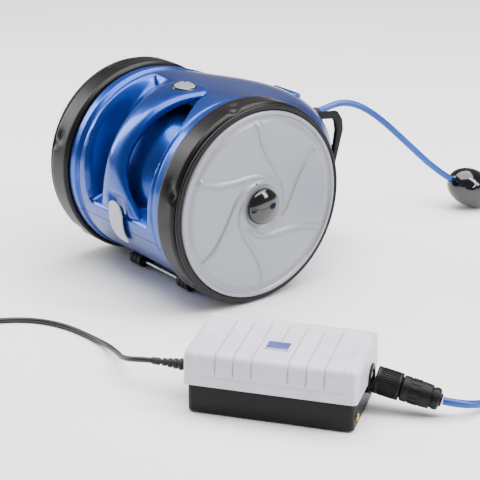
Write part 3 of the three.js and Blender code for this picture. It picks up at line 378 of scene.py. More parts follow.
def lathe(profile, segments=96):
    """Points and faces of a closed profile of (radius, x) turned about the X axis through the origin."""
    count = len(profile)
    vertices = []
    for i in range(segments):
        turn = 2 * math.pi * i / segments
        vertices += [Vector((x, r * math.cos(turn), r * math.sin(turn))) for r, x in profile]
    on_axis = [r < 1e-6 for r, _ in profile]
    faces = quads(segments, count)
    return vertices, [f for f in faces if not (on_axis[f[0] % count] and on_axis[f[1] % count])]


def rounded(profile, radius, steps=4):
    """A closed profile with its corners rounded; a corner on the axis stays sharp."""
    result = []
    count = len(profile)
    for i in range(count):
        before, corner, after = (Vector(profile[(i + k) % count]) for k in (-1, 0, 1))
        if corner.x < 1e-6:
            result.append(tuple(corner))
            continue
        to_before, to_after = before - corner, after - corner
        if to_before.length < 1e-6 or to_after.length < 1e-6:
            continue
        reach = min(radius, to_before.length * 0.45, to_after.length * 0.45)
        start = corner + to_before.normalized() * reach
        end = corner + to_after.normalized() * reach
        for step in range(steps + 1):
            t = step / steps
            result.append(tuple(start * (1 - t) ** 2 + corner * 2 * t * (1 - t) + end * t * t))
    return result


def finer(points, spacing):
    """A line of straight stretches with points added about every spacing."""
    fine = []
    for start, end in zip(points, points[1:]):
        steps = max(1, round((end - start).length / spacing))
        fine += [start + (end - start) * k / steps for k in range(steps)]
    return fine + [points[-1]]


def moved(points, matrix):
    return [matrix @ Vector(p) for p in points]


def pointing(place, direction):
    """A matrix whose X axis points along a direction from a place, with its Y axis level."""
    ahead = Vector(direction).normalized()
    level = Vector((0, 0, 1)).cross(ahead).normalized()
    upward = ahead.cross(level)
    rows = [(ahead[i], level[i], upward[i], place[i]) for i in range(3)]
    return Matrix(rows + [(0, 0, 0, 1)])


def place_piece(made, body, nodes):
    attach(made, body)
    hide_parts(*nodes)
    return made


# ---- cords
# Route points are those of the CAD part.
CABLE_TO_FLOAT = [
    (0, 215.8, 177.4), (0, 228, 178.9), (1, 243, 181.4), (5, 259, 182), (10, 277, 176.5), (16, 296, 165),
    (22, 319, 146), (29, 342, 123.5), (36, 366, 99.5), (42, 391, 75.5), (51.2, 424.2, 49.2),
]
CABLE_FROM_FLOAT = [
    (69.8, 489.8, 12.8), (76, 509, 6.5), (88, 532, 5), (110, 558, 5), (145, 579, 5), (190, 583, 5),
    (240, 566, 5), (290, 531, 5), (340, 496, 5), (395.5, 457.3, 5),
]
CABLE_TO_SUPPLY = [
    (476.2, 302, 31.5), (476.3, 285, 28), (477.5, 262, 20.5), (480.5, 238, 12.5), (485.5, 214, 7),
    (492, 190, 5), (501, 162, 5), (511, 134, 5), (520, 105, 5), (526, 75, 5), (528, 45, 5),
    (529.8, 26, 5.9), (530.8, 10, 7.8), (530.9, -4, 10.6), (529.5, -17.3, 13.9), (526, -26, 16),
    (521, -33.3, 17.7), (516.4, -38.1, 18.7), (513.7, -40.4, 19.3),
]
LEAD_ROUTE = [
    (260.5, -249.5, 34), (252, -255.6, 33.5), (241, -261, 31.5), (228, -262, 28), (213, -258, 23),
    (197, -251, 18), (174.6, -242, 12), (150, -235.5, 7.5), (128, -232.7, 4.6), (108, -233, 3.4),
    (88, -235.2, 3.4), (70, -238.5, 3.4), (55.6, -243, 3.4), (42, -249, 3.4), (30.3, -256.1, 3.4),
    (18, -267, 3.4), (8.3, -278.6, 3.4), (-1.3, -294.2, 3.4), (-9, -307.5, 3.4), (-15.2, -318, 3.4),
]
FLOAT_PLACE, FLOAT_DIRECTION = (60.5, 457, 31), (0.24, 0.85, -0.47)


def wound_coil(centre, start_angle, outer, pitch, base, turns_per_layer, layers, end_angle):
    """Middle line of a round coil: each layer spirals in or out and then climbs to the next."""
    wound = turns_per_layer * layers
    spare = (start_angle - end_angle) % 360 / 360
    while spare < 0.12 * (layers - 1):
        spare += 1
    climb = spare / (layers - 1)
    count = round((wound + spare) * 36)
    points = []
    for step in range(1, count):
        turns = (wound + spare) * step / count
        layer = min(layers - 1, int(turns // (turns_per_layer + climb)))
        inside = turns - layer * (turns_per_layer + climb)
        share = min(1.0, inside / turns_per_layer)
        inward = share if layer % 2 == 0 else 1 - share
        rise = max(0.0, inside - turns_per_layer) / climb
        swell = 0.2 * pitch * math.sin(math.pi * rise) * (-1 if layer % 2 == 0 else 1)
        radius = outer - pitch * turns_per_layer * inward + swell
        turn = math.radians(start_angle - 360 * turns)
        height = base + pitch * (layer + smooth(0, 1, rise))
        points.append((centre[0] + radius * math.cos(turn), centre[1] + radius * math.sin(turn), height))
    return points


def bent(share, start, leaving, end, arriving):
    """A smooth run from start to end that leaves and arrives with those slopes."""
    square, cube = share * share, share**3
    rise = 3 * square - 2 * cube
    swing = leaving * (cube - 2 * square + share) + arriving * (cube - square)
    return start * (1 - rise) + end * rise + swing


def smooth_route(points, spacing):
    """A finer line through the route's points, with even steps."""
    fine = []
    padded = [Vector(point) for point in (points[0], *points, points[-1])]
    for before, start, end, after in zip(padded, padded[1:], padded[2:], padded[3:]):
        span = (end - start).length
        leaving, arriving = (end - before).normalized() * span, (after - start).normalized() * span
        steps = max(1, round(span / spacing))
        fine += [bent(step / steps, start, leaving, end, arriving) for step in range(steps)]
    fine.append(Vector(points[-1]))
    return fine


def cord_curve(name, route, diameter, material):
    """A round cord as one open curve through its route."""
    data = bpy.data.curves.new(name, "CURVE")
    data.dimensions = "3D"
    data.bevel_depth = diameter / 2 * MM
    data.bevel_resolution = 3
    data.use_fill_caps = True
    spline = data.splines.new("POLY")
    spline.points.add(len(route) - 1)
    for point, place in zip(spline.points, route):
        point.co = (*framed(place), 1)
    spline.use_smooth = True
    data.materials.append(material)
    return linked(name, data)


def make_cords():
    coil = wound_coil((375, 348), 55.0, 101.2, 9.3, 5.0, 4, 4, 0.0)
    cable_route = smooth_route(CABLE_TO_FLOAT + CABLE_FROM_FLOAT + coil + CABLE_TO_SUPPLY, 4.0)
    cable = cord_curve("floating_cable", cable_route, CABLE_DIAMETER, JACKET)
    cad_solids = ["cable_to_float", "cable_from_float", "cable_coil", "cable_to_supply"]
    place_piece(cable, "root", cad_solids)
    lead_end = [(-76.1, -363.1, 9.5), (-85.5, -363.1, 8.2), (-95, -363.1, 7.2)]
    lead_coil = wound_coil((-68.1, -318.1), -31.5, 45.0, 6.5, 3.4, 3, 2, 270.0)
    lead_route = smooth_route(LEAD_ROUTE + lead_coil + lead_end, 3.0)
    lead = cord_curve("mains_lead_cord", lead_route, LEAD_DIAMETER, LEAD)
    place_piece(lead, "root", ["mains_lead", "mains_lead_coil"])
    return (cable, cable_route, CABLE_DIAMETER, "connector"), (lead, lead_route, LEAD_DIAMETER, "plug")


make_camera()
cable, lead = make_cords()


# ---- casing
HINGE_REACH = casing_radius(HINGE_ANGLE, 0) - HINGE_SINK
HINGE_AT = on_axle(HINGE_ANGLE, HINGE_REACH, 0)
FLANGE_FROM, FLANGE_RISE = 86.5, 2.4


def eased(table, angle):
    """A size that follows a table of (angle, size) smoothly."""
    if angle <= table[0][0]:
        return table[0][1]
    for (a0, v0), (a1, v1) in zip(table, table[1:]):
        if angle <= a1:
            at = table.index((a0, v0))
            before, after = table[max(0, at - 1)], table[min(len(table) - 1, at + 2)]
            leaving = (v1 - before[1]) / (a1 - before[0]) * (a1 - a0)
            arriving = (after[1] - v0) / (after[0] - a0) * (a1 - a0)
            return bent((angle - a0) / (a1 - a0), v0, leaving, v1, arriving)
    return table[-1][1]


# Sides of the hand pockets and of the handle: (degrees about the axle, millimetres along X).
POCKET_LEFT = [(91, -73), (104, -75), (122, -76), (143, -75), (159, -72), (170, -69), (183, -66), (194, -61)]
POCKET_RIGHT = [(91, 44), (100, 50), (110, 61), (122, 73), (137, 78), (151, 78), (164, 76), (189, 71)]
POCKET_RIGHT += [(194, 69)]
HANDLE_LEFT = [(81, -18), (88, -25), (99, -30), (112, -27), (130, -25), (151, -24), (165, -25), (176, -29)]
HANDLE_LEFT += [(186, -37), (196, -46)]
HANDLE_RIGHT = [(81, 20), (87, 34), (93, 41), (99, 40), (110, 30), (125, 20), (139, 16), (151, 13), (163, 15)]
HANDLE_RIGHT += [(171, 22), (183, 35), (196, 47)]
DEGREE = math.radians(BARREL_RADIUS)  # one degree along the casing, in millimetres


def meeting(first, second, radius):
    """The nearer of two distances, with a rounded corner where both are short."""
    if first > radius or second > radius:
        return min(first, second)
    return radius - math.hypot(radius - first, radius - second)


def pocket_depth(angle, x):
    left, right = eased(POCKET_LEFT, angle), eased(POCKET_RIGHT, angle)
    ends = min((POCKET_TO - angle) * DEGREE, (angle - POCKET_FROM) * DEGREE)
    side = min(x - left, right - x)
    if ends <= 0 or side <= 0:
        return 0.0
    distance = meeting(ends, side, 7.0)
    depth = POCKET_DEPTH * smooth(0, 13, distance) ** 0.85
    # on the left it grows shallow towards the rear
    depth *= 1 - 0.6 * (1 - smooth(96, 134, angle)) * smooth(5, 35, -x)
    # the floor swells towards the handle
    return depth - 13.0 * smooth(14, 52, side) * smooth(0, 13, distance)


def skin_radius(angle, x):
    """The casing's outer surface with its end flanges, its pockets and its flat underside."""
    radius = casing_radius(angle, x)
    radius += FLANGE_RISE * smooth(FLANGE_FROM - 1.2, FLANGE_FROM + 1.2, abs(x))
    radius -= 1.2 * math.exp(-(((abs(x) - FLANGE_FROM + 3.5) / 2.2) ** 2))
    radius -= pocket_depth(angle, x)
    down = -math.sin(math.radians(angle))
    if down > 0.5:
        radius = min(radius, (AXLE_HEIGHT - BOTTOM_HEIGHT) / down)
    return radius


def hinge_line(x, offset):
    """The angle at which the casing's surface crosses a plane beside the hinge."""
    ahead, behind = (on_axle(HINGE_ANGLE + d, casing_radius(HINGE_ANGLE + d, 0), 0) for d in (1, -1))
    slope = math.atan2(ahead.z - behind.z, behind.y - ahead.y)
    low, high = 5.0, 60.0
    for _ in range(30):
        middle = (low + high) / 2
        away = on_axle(middle, casing_radius(middle, x), x) - HINGE_AT
        if away.y * math.cos(slope) - away.z * math.sin(slope) > offset:
            low = middle
        else:
            high = middle
    return (low + high) / 2


def spread(knots, counts):
    """Values between knots, with so many steps in each stretch."""
    values = []
    for (a, b), count in zip(zip(knots, knots[1:]), counts):
        values += [a + (b - a) * k / count for k in range(count)]
    return values + [knots[-1]]


def columns_at(angle):
    """Places along X of a row's points, gathered where the pockets' walls stand."""
    left, right = eased(POCKET_LEFT, angle), eased(POCKET_RIGHT, angle)
    inner = [min(left - 2, -81), left + 14, right - 14, max(right + 2, 81.5)]
    return spread([-BARREL_HALF, -89, -85, *inner, 85, 89, BARREL_HALF], [5, 4, 3, 16, 22, 16, 3, 4, 5])


def shell_piece(name, rows, front_offset, rear_offset):
    """A skin over rows of angles; its first or last row may follow a plane beside the hinge."""
    vertices = []
    for angle in rows:
        for x in columns_at(angle):
            at = angle
            if front_offset is not None and angle < 75:
                at += (hinge_line(x, front_offset) - rows[-1]) * smooth(75, 28, angle)
            if rear_offset is not None and angle > 0:
                at += (hinge_line(x, rear_offset) - rows[-1]) * angle / rows[-1]
            vertices.append(on_axle(at, skin_radius(at, x), x))
    faces = []
    for a, b, c, d in quads(len(rows), len(columns_at(90)), False, False):
        middle = (vertices[a] + vertices[b] + vertices[c] + vertices[d]) / 4
        if middle.z > BOTTOM_HEIGHT + 0.2 or abs(middle.y) > 30 or abs(middle.x) > 78:
            faces.append((a, d, c, b))
    made = new_object(name, vertices, faces, BLUE, 30)
    face_outwards(made, framed((0, 0, AXLE_HEIGHT)))
    modify(made, "SOLIDIFY", thickness=WALL * MM, offset=-1.0, use_even_offset=False)
    tidy_mesh(made, 38)
    return made


def boolean(made, cutter):
    modify(made, "BOOLEAN", object=cutter, operation="DIFFERENCE", solver="EXACT")
    bpy.data.objects.remove(cutter)


def round_bar(name, radius, start, end, material, edge=0.6, segments=32):
    """A round bar between two points, with eased ends."""
    start, end = Vector(start), Vector(end)
    length = (end - start).length
    profile = rounded([(0, 0), (radius, 0), (radius, length), (0, length)], edge, 3)
    points, faces = lathe(profile, segments)
    return new_object(name, moved(points, pointing(start, end - start)), faces, material)


def block(name, low, high, material, edge=1.0, matrix=None):
    """A block with eased edges."""
    ends = list(zip(low, high))
    corners = [Vector((x, y, z)) for x in ends[0] for y in ends[1] for z in ends[2]]
    faces = [(0, 1, 3, 2), (4, 6, 7, 5), (0, 4, 5, 1), (2, 3, 7, 6), (0, 2, 6, 4), (1, 5, 7, 3)]
    made = new_object(name, moved(corners, matrix or Matrix()), faces, material)
    if edge > 0:
        modify(made, "BEVEL", width=edge * MM, segments=3, limit_method="ANGLE")
        tidy_mesh(made, 50)
    return made


def joined(name, pieces):
    """One object out of several meshes that share the world's origin."""
    work = bmesh.new()
    materials = []
    for piece in pieces:
        start = len(work.faces)
        work.from_mesh(piece.data)
        work.faces.ensure_lookup_table()
        for face in work.faces[start:]:
            material = piece.data.materials[face.material_index]
            if material not in materials:
                materials.append(material)
            face.material_index = materials.index(material)
    mesh = bpy.data.meshes.new(name)
    work.to_mesh(mesh)
    work.free()
    for material in materials:
        mesh.materials.append(material)
    for piece in pieces:
        bpy.data.objects.remove(piece)
    return linked(name, mesh)


def make_casing():
    lid_rows = [201.8, 200.5, 199.2, 197.8, 196.4, 195]
    lid_rows += spread([194.2, 188, 130, 98, 91, 70, 30], [10, 60, 60, 14, 12, 30])
    lid = shell_piece("lid_skin", lid_rows, -5.5, None)
    y, z = HINGE_AT.y, HINGE_AT.z
    arm = block("hinge_arm", (-8, y - 10, z - 3), (8, y, z + 2.5), BLUE, 0.6)
    knuckle = round_bar("hinge_knuckle", 4.5, (-8, y, z), (8, y, z), BLUE)
    place_piece(joined("lid_with_pockets", [lid, arm, knuckle]), "lid", ["upper_shell"])

    flat = math.degrees(math.acos((AXLE_HEIGHT - BOTTOM_HEIGHT) / BARREL_RADIUS))
    mouth = math.degrees(math.atan2(30, AXLE_HEIGHT - BOTTOM_HEIGHT))
    under = [-flat - 1, -flat + 0.4, -mouth, mouth, flat - 0.4, flat + 1]
    low_rows = spread([-157.8, -145, *(-90 + a for a in under), 0, 29], [10, 14, 4, 2, 8, 2, 4, 60, 28])
    low = shell_piece("low_skin", low_rows, None, -5.2)
    outlet_at, outlet_turn = on_axle(-8, casing_radius(-8, 0), 0), math.radians(-31)
    outlet = pointing(outlet_at, (0, math.cos(outlet_turn), math.sin(outlet_turn)))
    boolean(low, block("outlet_cut", (-40, -27.8, -18.3), (20, 27.8, 18.3), BLUE, 0, outlet))
    boolean(low, block("knuckle_cut", (-8.5, y - 8, z - 8), (8.5, y + 5.3, z + 8), BLUE, 0))
    tidy_mesh(low, 38)
    ears = []
    for start, end in ((-24.5, -8.5), (8.5, 24.5)):
        ears.append(round_bar("ear", 4.5, (start, y, z), (end, y, z), BLUE))
        ears.append(block("ear_foot", (start, y - 1, z - 12), (end, y + 5, z - 2), BLUE))
    place_piece(joined("lower_casing", [low, *ears]), "root", ["lower_shell"])


INSET_MIDDLE, INSET_HALF = (6, 96.4), (20, 6.6)  # millimetres along X, degrees about the axle
CROWN = 2.7  # power of the handle's squared section


def handle_side(angle):
    left, right = eased(HANDLE_LEFT, angle), eased(HANDLE_RIGHT, angle)
    outer = HANDLE_RADIUS - 4.2 * smooth(150, 192, angle)
    outer -= 4.5 * smooth(190, 196, angle) + 7.5 * (1 - smooth(81, 89.5, angle))
    inner = HANDLE_RADIUS - HANDLE_THICKNESS - 6 * smooth(172, 191, angle)
    return (left + right) / 2, (right - left) / 2, outer, inner


def handle_top(angle, x):
    """The handle's crowned outer surface."""
    middle, half, outer, inner = handle_side(angle)
    across = min(1.0, abs(x - middle) / half)
    height = (outer - inner) / 2
    return (outer + inner) / 2 + height * (1 - across**CROWN) ** (1 / CROWN)


def make_handle():
    sections = []
    for angle in spread([81.5, 94, 172, 196], [20, 64, 34]):
        middle, half, outer, inner = handle_side(angle)
        section = []
        for wide, tall in squared_circle(72, 2 / CROWN):
            x = middle + half * wide
            r = (outer + inner) / 2 + (outer - inner) / 2 * tall
            # a scoop behind the top of the latch leaves it room to swing
            scoop = math.exp(-(((angle - 185) / 6) ** 4) - ((x - 4) / 15) ** 4)
            r -= 6.5 * scoop if tall > 0 else 0
            section.append(on_axle(angle, r, x))
        sections.append(section)
    place_piece(lofted("carrying_handle", sections, BLUE), "lid", ["handle"])

    # the inset: an almond-shaped silver plate in a dark rim, following the handle's crown
    (at_x, at_angle), (half_x, half_angle) = INSET_MIDDLE, INSET_HALF
    vertices, steps, rings = [], 56, [0.0, 0.3, 0.6, 0.78, 0.84, 0.88, 0.94, 1.0]
    rises = [0.9, 0.9, 0.85, 0.75, 0.2, 0.2, 0.7, -0.6]
    for ring, rise in zip(rings, rises):
        for (c, s), (wide, tall) in zip(squared_circle(steps, 1), squared_circle(steps, 0.85)):
            x = at_x + half_x * ring * wide + 2.5 * ring * s
            angle = at_angle + half_angle * ring * tall * (1 - 0.16 * c)
            vertices.append(on_axle(angle, handle_top(angle, x) + rise, x))
    faces = quads(len(rings), steps, round_rows=False)
    inset = new_object("handle_badge_plate", vertices, faces, SILVER, 40)
    inset.data.materials.append(GLOSS)
    for face in inset.data.polygons:
        place = (face.center - OWN_POINT) / MM
        angle = math.degrees(math.atan2(place.z - AXLE_HEIGHT, place.y))
        away = math.hypot((place.x - at_x) / half_x, (angle - at_angle) / half_angle)
        face.material_index = 1 if away > 0.8 else 0
    modify(inset, "SOLIDIFY", thickness=1.2 * MM, offset=-1.0)
    tidy_mesh(inset, 40)
    place_piece(inset, "lid", ["handle_inset"])


LATCH_LEFT = [(183, -4), (185, -7), (190, -9), (197, -12), (204, -14), (209, -11), (212, -5)]
LATCH_RIGHT = [(183, 10), (185, 15), (190, 20), (197, 17), (204, 13), (209, 12), (212, 11)]


def make_latch():
    """The latch leaf: an S-shaped tongue over the joint."""
    start, end = LATCH_LEFT[0][0], LATCH_LEFT[-1][0]
    angles = spread([start, start + 2, end - 3, end], [5, 26, 6])
    sections = []
    for number, angle in enumerate(angles):
        a, b = eased(LATCH_LEFT, angle), eased(LATCH_RIGHT, angle)
        ends = min(1.0, 0.35 + 0.65 * math.sqrt(min(number, len(angles) - 1 - number) / 6))
        middle, half = (a + b) / 2, (b - a) / 2 * ends
        radius = 125.4 + 1.2 * math.sin(math.pi * (angle - start) / (end - start))
        places = [(radius + 2 * ends * tall, middle + half * wide) for wide, tall in squared_circle(28, 0.7)]
        sections.append([on_axle(angle, r, x) for r, x in places])
    place_piece(lofted("latch_tongue", sections, GREY), "latch", ["latch_leaf"])


# ---- wheels
DENT_FROM = 104.0  # the first dent's direction; the others follow every 60 degrees
# A swirl rib's middle line: (radius in wheel radii, degrees from its outer end).
SWIRL = [(0.24, -106), (0.26, -90), (0.28, -76), (0.3, -63), (0.33, -46), (0.36, -34), (0.4, -24)]
SWIRL += [(0.44, -17), (0.5, -11), (0.57, -6), (0.64, -3), (0.74, -1.5), (0.85, 0)]
SWIRL_FROM = 33.0


def make_tyre(side, sign):
    inner, outer, edge = TYRE_INNER, TYRE_OUTER, WHEEL_RADIUS
    bed = edge - 12
    profile = [(bed, inner), (edge - 2.6, inner), (edge, inner + 4), (edge, outer - 9.5)]
    profile += [(edge - 1.6, outer - 6.2), (edge - 4.6, outer - 5.2), (edge - 4.6, outer - 4.2)]
    profile += [(edge - 2.6, outer - 3.6), (edge - 2.6, outer), (edge - 9.2, outer), (edge - 9.6, outer - 4)]
    profile = [Vector(corner) for corner in rounded(profile + [(bed, outer - 4)], 1.7)]
    profile = finer(profile + profile[:1], 2.2)[:-1]
    sections = []
    for step in range(300):
        angle = 360 * step / 300
        off = (angle - DENT_FROM + 30) % 60 - 30
        section = []
        for r, x in profile:
            dent = 3.4 * math.exp(-((off / 2.6) ** 2) - ((x - (outer - 10.5)) / 4.5) ** 2)
            dent += 2.0 * math.exp(-(((off + 4) / 3.6) ** 2) - ((x - (outer - 20)) / 7.0) ** 2)
            swell = 0.5 * math.exp(-(((off - 5) / 2.2) ** 2) - ((x - (outer - 12)) / 6.0) ** 2)
            depth = (dent - swell) * smooth(bed + 4, edge - 2, r)
            section.append(on_axle(angle, r - depth, sign * x))
        sections.append(section)
    tyre = ring_object(side + "_moulded_tyre", sections, TYRE, 40)
    place_piece(tyre, side + "_wheel", [side + "_tyre"])


def disc_face(radius, angle):
    """How far the trim disc's face stands out, from the hub to the rim."""
    share = radius / WHEEL_RADIUS
    face = TYRE_OUTER + 2.3 + 3.6 * (1 - (radius / 114) ** 2)
    face -= 1.9 * smooth(104, 112, radius)
    face += 2.6 * smooth(114.0, 116.2, radius)
    face -= 1.6 * (1 - smooth(25, 29.5, radius))
    face += 0.9 * math.exp(-(((radius - 32.5) / 2.2) ** 2))
    if 0.235 < share < 0.86:
        along = eased(SWIRL, share)
        tilt = share * math.radians(eased(SWIRL, share + 0.01) - eased(SWIRL, share - 0.01)) / 0.02
        off = (angle - SWIRL_FROM - along + 30) % 60 - 30
        away = radius * math.radians(off) / math.hypot(1, tilt)
        width = 2.7 + 1.6 * smooth(0.74, 0.84, share)
        window = smooth(0.238, 0.27, share) * (1 - smooth(0.8, 0.855, share))
        face += 2.0 * window * math.exp(-((away / width) ** 4))
        face -= 0.5 * window * math.exp(-(((abs(away) - width * 1.5) / 1.5) ** 2))
    return face


def make_disc(side, sign):
    rim = WHEEL_RADIUS - 9.9
    radii = spread([14.3, 24, 36, 104, 118.6], [4, 10, 52, 16])
    sections = []
    for step in range(480):
        angle = 360 * step / 480
        places = [(r, disc_face(r, angle)) for r in radii]
        edge = disc_face(118.6, angle)
        places += [(119.4, edge - 0.25), (rim - 0.2, edge - 0.8), (rim, edge - 1.6), (rim, TYRE_OUTER - 3.7)]
        places += [(rim - 7, TYRE_OUTER - 3.7), (rim - 8.5, TYRE_OUTER - 1.6), (14.3, TYRE_OUTER + 1.6)]
        sections.append([on_axle(angle, r, sign * x) for r, x in places])
    disc = ring_object(side + "_trim_disc", sections, SILVER, 45)
    pin = on_axle(109, 33.5, 0)
    foot, tip = (Vector((sign * (disc_face(33.5, 109) + d), pin.y, pin.z)) for d in (-1, 0.35))
    dot = round_bar("dot", 1.2, foot, tip, GLOSS, 0.3, 16)
    disc = joined(side + "_wheel_trim", [disc, dot])
    place_piece(disc, side + "_wheel", [side + "_wheel_disc"])

    base = TYRE_OUTER + 2.3 + 4 + 0.3
    profile = [(0, base - 3), (14, base - 3), (14, base - 0.4), (23.4, base - 0.4), (23.4, base + 0.4)]
    turns = spread([0.02, math.pi / 2], [16])
    profile += [(23.3 * math.cos(turn), base + 0.4 + 10.5 * math.sin(turn)) for turn in turns]
    profile[-1] = (0, profile[-1][1])
    points, faces = lathe(profile)
    points = [Vector((sign * p.x, p.y, p.z + AXLE_HEIGHT)) for p in points]
    cap = new_object(side + "_dome_cap", points, faces, GLOSS, 50)
    place_piece(cap, side + "_wheel", [side + "_hub_cap"])


# ---- smaller pieces
def eased_copy(name, node, body, material, edge, segments=2, angle=30):
    """A copy of a CAD node with its facets merged, its edges eased and its gentle turns shaded smooth."""
    made = linked(name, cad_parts[node].data.copy())
    work = bmesh.new()
    work.from_mesh(made.data)
    bmesh.ops.remove_doubles(work, verts=work.verts, dist=0.02 * MM)
    bmesh.ops.dissolve_limit(work, angle_limit=math.radians(1.0), verts=work.verts, edges=work.edges)
    work.to_mesh(made.data)
    work.free()
    made.data.materials.clear()
    made.data.materials.append(material)
    limits = {"limit_method": "ANGLE", "angle_limit": math.radians(angle), "use_clamp_overlap": True}
    modify(made, "BEVEL", width=edge * MM, segments=segments, **limits)
    tidy_mesh(made, 40)
    place_piece(made, body, [node])
    return made


def lathe_piece(name, profile, matrix, material, corner=0.5, segments=64):
    points, faces = lathe(rounded(profile, corner, 3), segments)
    return new_object(name, moved(points, matrix), faces, material, 40)


def make_rollers():
    sizes = {"left_front_roller": (8.5, 22), "right_front_roller": (8.5, 22), "tail_roller": (11, 70)}
    for name, (radius, length) in sizes.items():
        low, high = local_box(name)
        profile = [(2.8, -length / 2), (radius, -length / 2)]
        grooves = 2 if length < 30 else 6
        for k in range(grooves):
            at = -length / 2 + (k + 1) * length / (grooves + 1)
            profile += [(radius - cut, at + d) for cut, d in ((0, -1.4), (1.3, -0.6), (1.3, 0.6), (0, 1.4))]
        profile += [(radius, length / 2), (2.8, length / 2)]
        made = lathe_piece(name + "_grooved", profile, Matrix.Translation((low + high) / 2), RUBBER, 0.5, 56)
        place_piece(made, name, [name])


def make_tail_fittings():
    eased_copy("rear_bracket", "tail_bracket", "root", BLACK, 1.3, 3, 25)
    slope = math.radians(7)
    matrix = pointing(on_axle(13, casing_radius(13, 0), 0), (0, math.cos(slope), math.sin(slope)))
    profile = [(4.9, -6), (9, -6), (9, 0), (11, 0.4), (11, 4.6), (8.6, 6)]
    for k in range(4):
        x, out, back = 7.2 + 3.4 * k, 7.9 - 0.5 * k, 6.6 - 0.4 * k
        profile += [(out, x), (out, x + 1.7), (back, x + 2.1), (back, x + 3.0)]
    profile += [(5.6, 21.4), (4.9, 21.9)]
    boot = lathe_piece("cable_boot", profile, matrix, RUBBER, 0.4)
    place_piece(boot, "root", ["cable_gland"])


def make_float():
    matrix = pointing(FLOAT_PLACE, FLOAT_DIRECTION)
    half = 38.0
    profile = [(0, -half)]
    for k in range(1, 48):
        turn = math.pi * k / 48
        radius = 27 * math.sin(turn) ** 0.92
        seam = 0.5 * math.exp(-((half * math.cos(turn) / 0.8) ** 2))
        profile.append((max(radius, 5.6) - seam, -half * math.cos(turn)))
    profile.append((0, half))
    points, faces = lathe(profile)
    pieces = [new_object("float_body", moved(points, matrix), faces, GLOSS, 50)]
    # a raised round seat with a light ring on one side
    toward = Vector((0.62, -0.58, 0.53)).normalized()
    seat = pointing(Vector(FLOAT_PLACE) + toward * 21.0, toward)
    rim = [(0, 2), (7.6, 2), (7.6, 6.3), (6.6, 6.9), (5.6, 6.3), (5.4, 5.2), (0, 5.2)]
    pieces.append(lathe_piece("float_seat", rim, seat, BLACK, 0.4, 48))
    ring = [(5.7, 6), (6.9, 6), (6.9, 7.1), (5.7, 7.1)]
    pieces.append(lathe_piece("float_ring", ring, seat, GREY, 0.3, 48))
    made = joined("cable_float_moulding", pieces)
    place_piece(made, "root", ["cable_float"])
    return made


# ---- power supply
base_low, base_high = local_box("supply_base")
SUPPLY_AT = Vector(((base_low.x + base_high.x) / 2, (base_low.y + base_high.y) / 2, 0))
SUPPLY = Matrix.Translation(SUPPLY_AT) @ Matrix.Rotation(math.radians(SUPPLY_TURN), 4, "Z")
SUPPLY_LENGTH, SUPPLY_DEPTH, LID_FROM, LID_TOP = 195.0, 109.0, 35.3, 78.2
PANEL_HALF, GROOVES = 81.5, 7
CONNECTOR = SUPPLY @ Matrix.Translation((SUPPLY_LENGTH / 2 + 6, 17, 35))
CONNECTOR @= Matrix.Rotation(math.radians(12), 4, "Y")
FRONT_DRAFT, REAR_DRAFT, LID_DROP = 2.2, 2.5, 4.5


def lid_section():
    """The lid's section over the top from front to rear, as (y, z, normal y, normal z, run)."""
    half = SUPPLY_DEPTH / 2
    corners = [(-half, LID_FROM), (-half + FRONT_DRAFT, LID_TOP - LID_DROP), (half - REAR_DRAFT, LID_TOP)]
    corners.append((half, LID_FROM))
    corners = [Vector(corner) for corner in corners]
    line = corners[:1]
    for before, corner, after, radius in zip(corners, corners[1:], corners[2:], (10, 7)):
        first, last = (before - corner).normalized(), (after - corner).normalized()
        half_angle = first.angle(last) / 2
        reach = radius / math.tan(half_angle)
        centre = corner + (first + last).normalized() * radius / math.sin(half_angle)
        a, b = corner + first * reach - centre, corner + last * reach - centre
        turn = a.angle(b)
        for t in spread([0, 1], [8]):
            line.append(centre + (a * math.sin((1 - t) * turn) + b * math.sin(t * turn)) / math.sin(turn))
    line = finer(line + corners[-1:], 1.6)
    result, run = [], 0.0
    for before, point, after in zip(line[:1] + line, line, line[1:] + line[-1:]):
        run += (point - before).length
        ahead = (after - before).normalized()
        result.append((point.x, point.y, -ahead.y, ahead.x, run))
    return result, run


def lid_relief(x, run, total):
    """How far the lid's surface is sunk: a shallow panel with a groove between each two fields."""
    front, rear = 11.0, total - 43 - 11
    inside = meeting(min(PANEL_HALF - abs(x), 99), min(run - front, rear - run), 5.0)
    sunk = 1.0 * smooth(-0.8, 0.8, inside)
    sunk += 0.7 * math.exp(-((inside / 0.9) ** 2))
    pitch = 2 * PANEL_HALF / (GROOVES + 1)
    number = round(x / pitch)
    if abs(number) <= GROOVES // 2 and inside > 0:
        off = abs(x - number * pitch)
        stop = front + 4 if number else front + 62
        window = smooth(stop - 1, stop + 1, run) * (1 - smooth(rear - 3, rear - 1, run))
        sunk += 2.5 * window * math.exp(-((off / 0.8) ** 4))
    return sunk


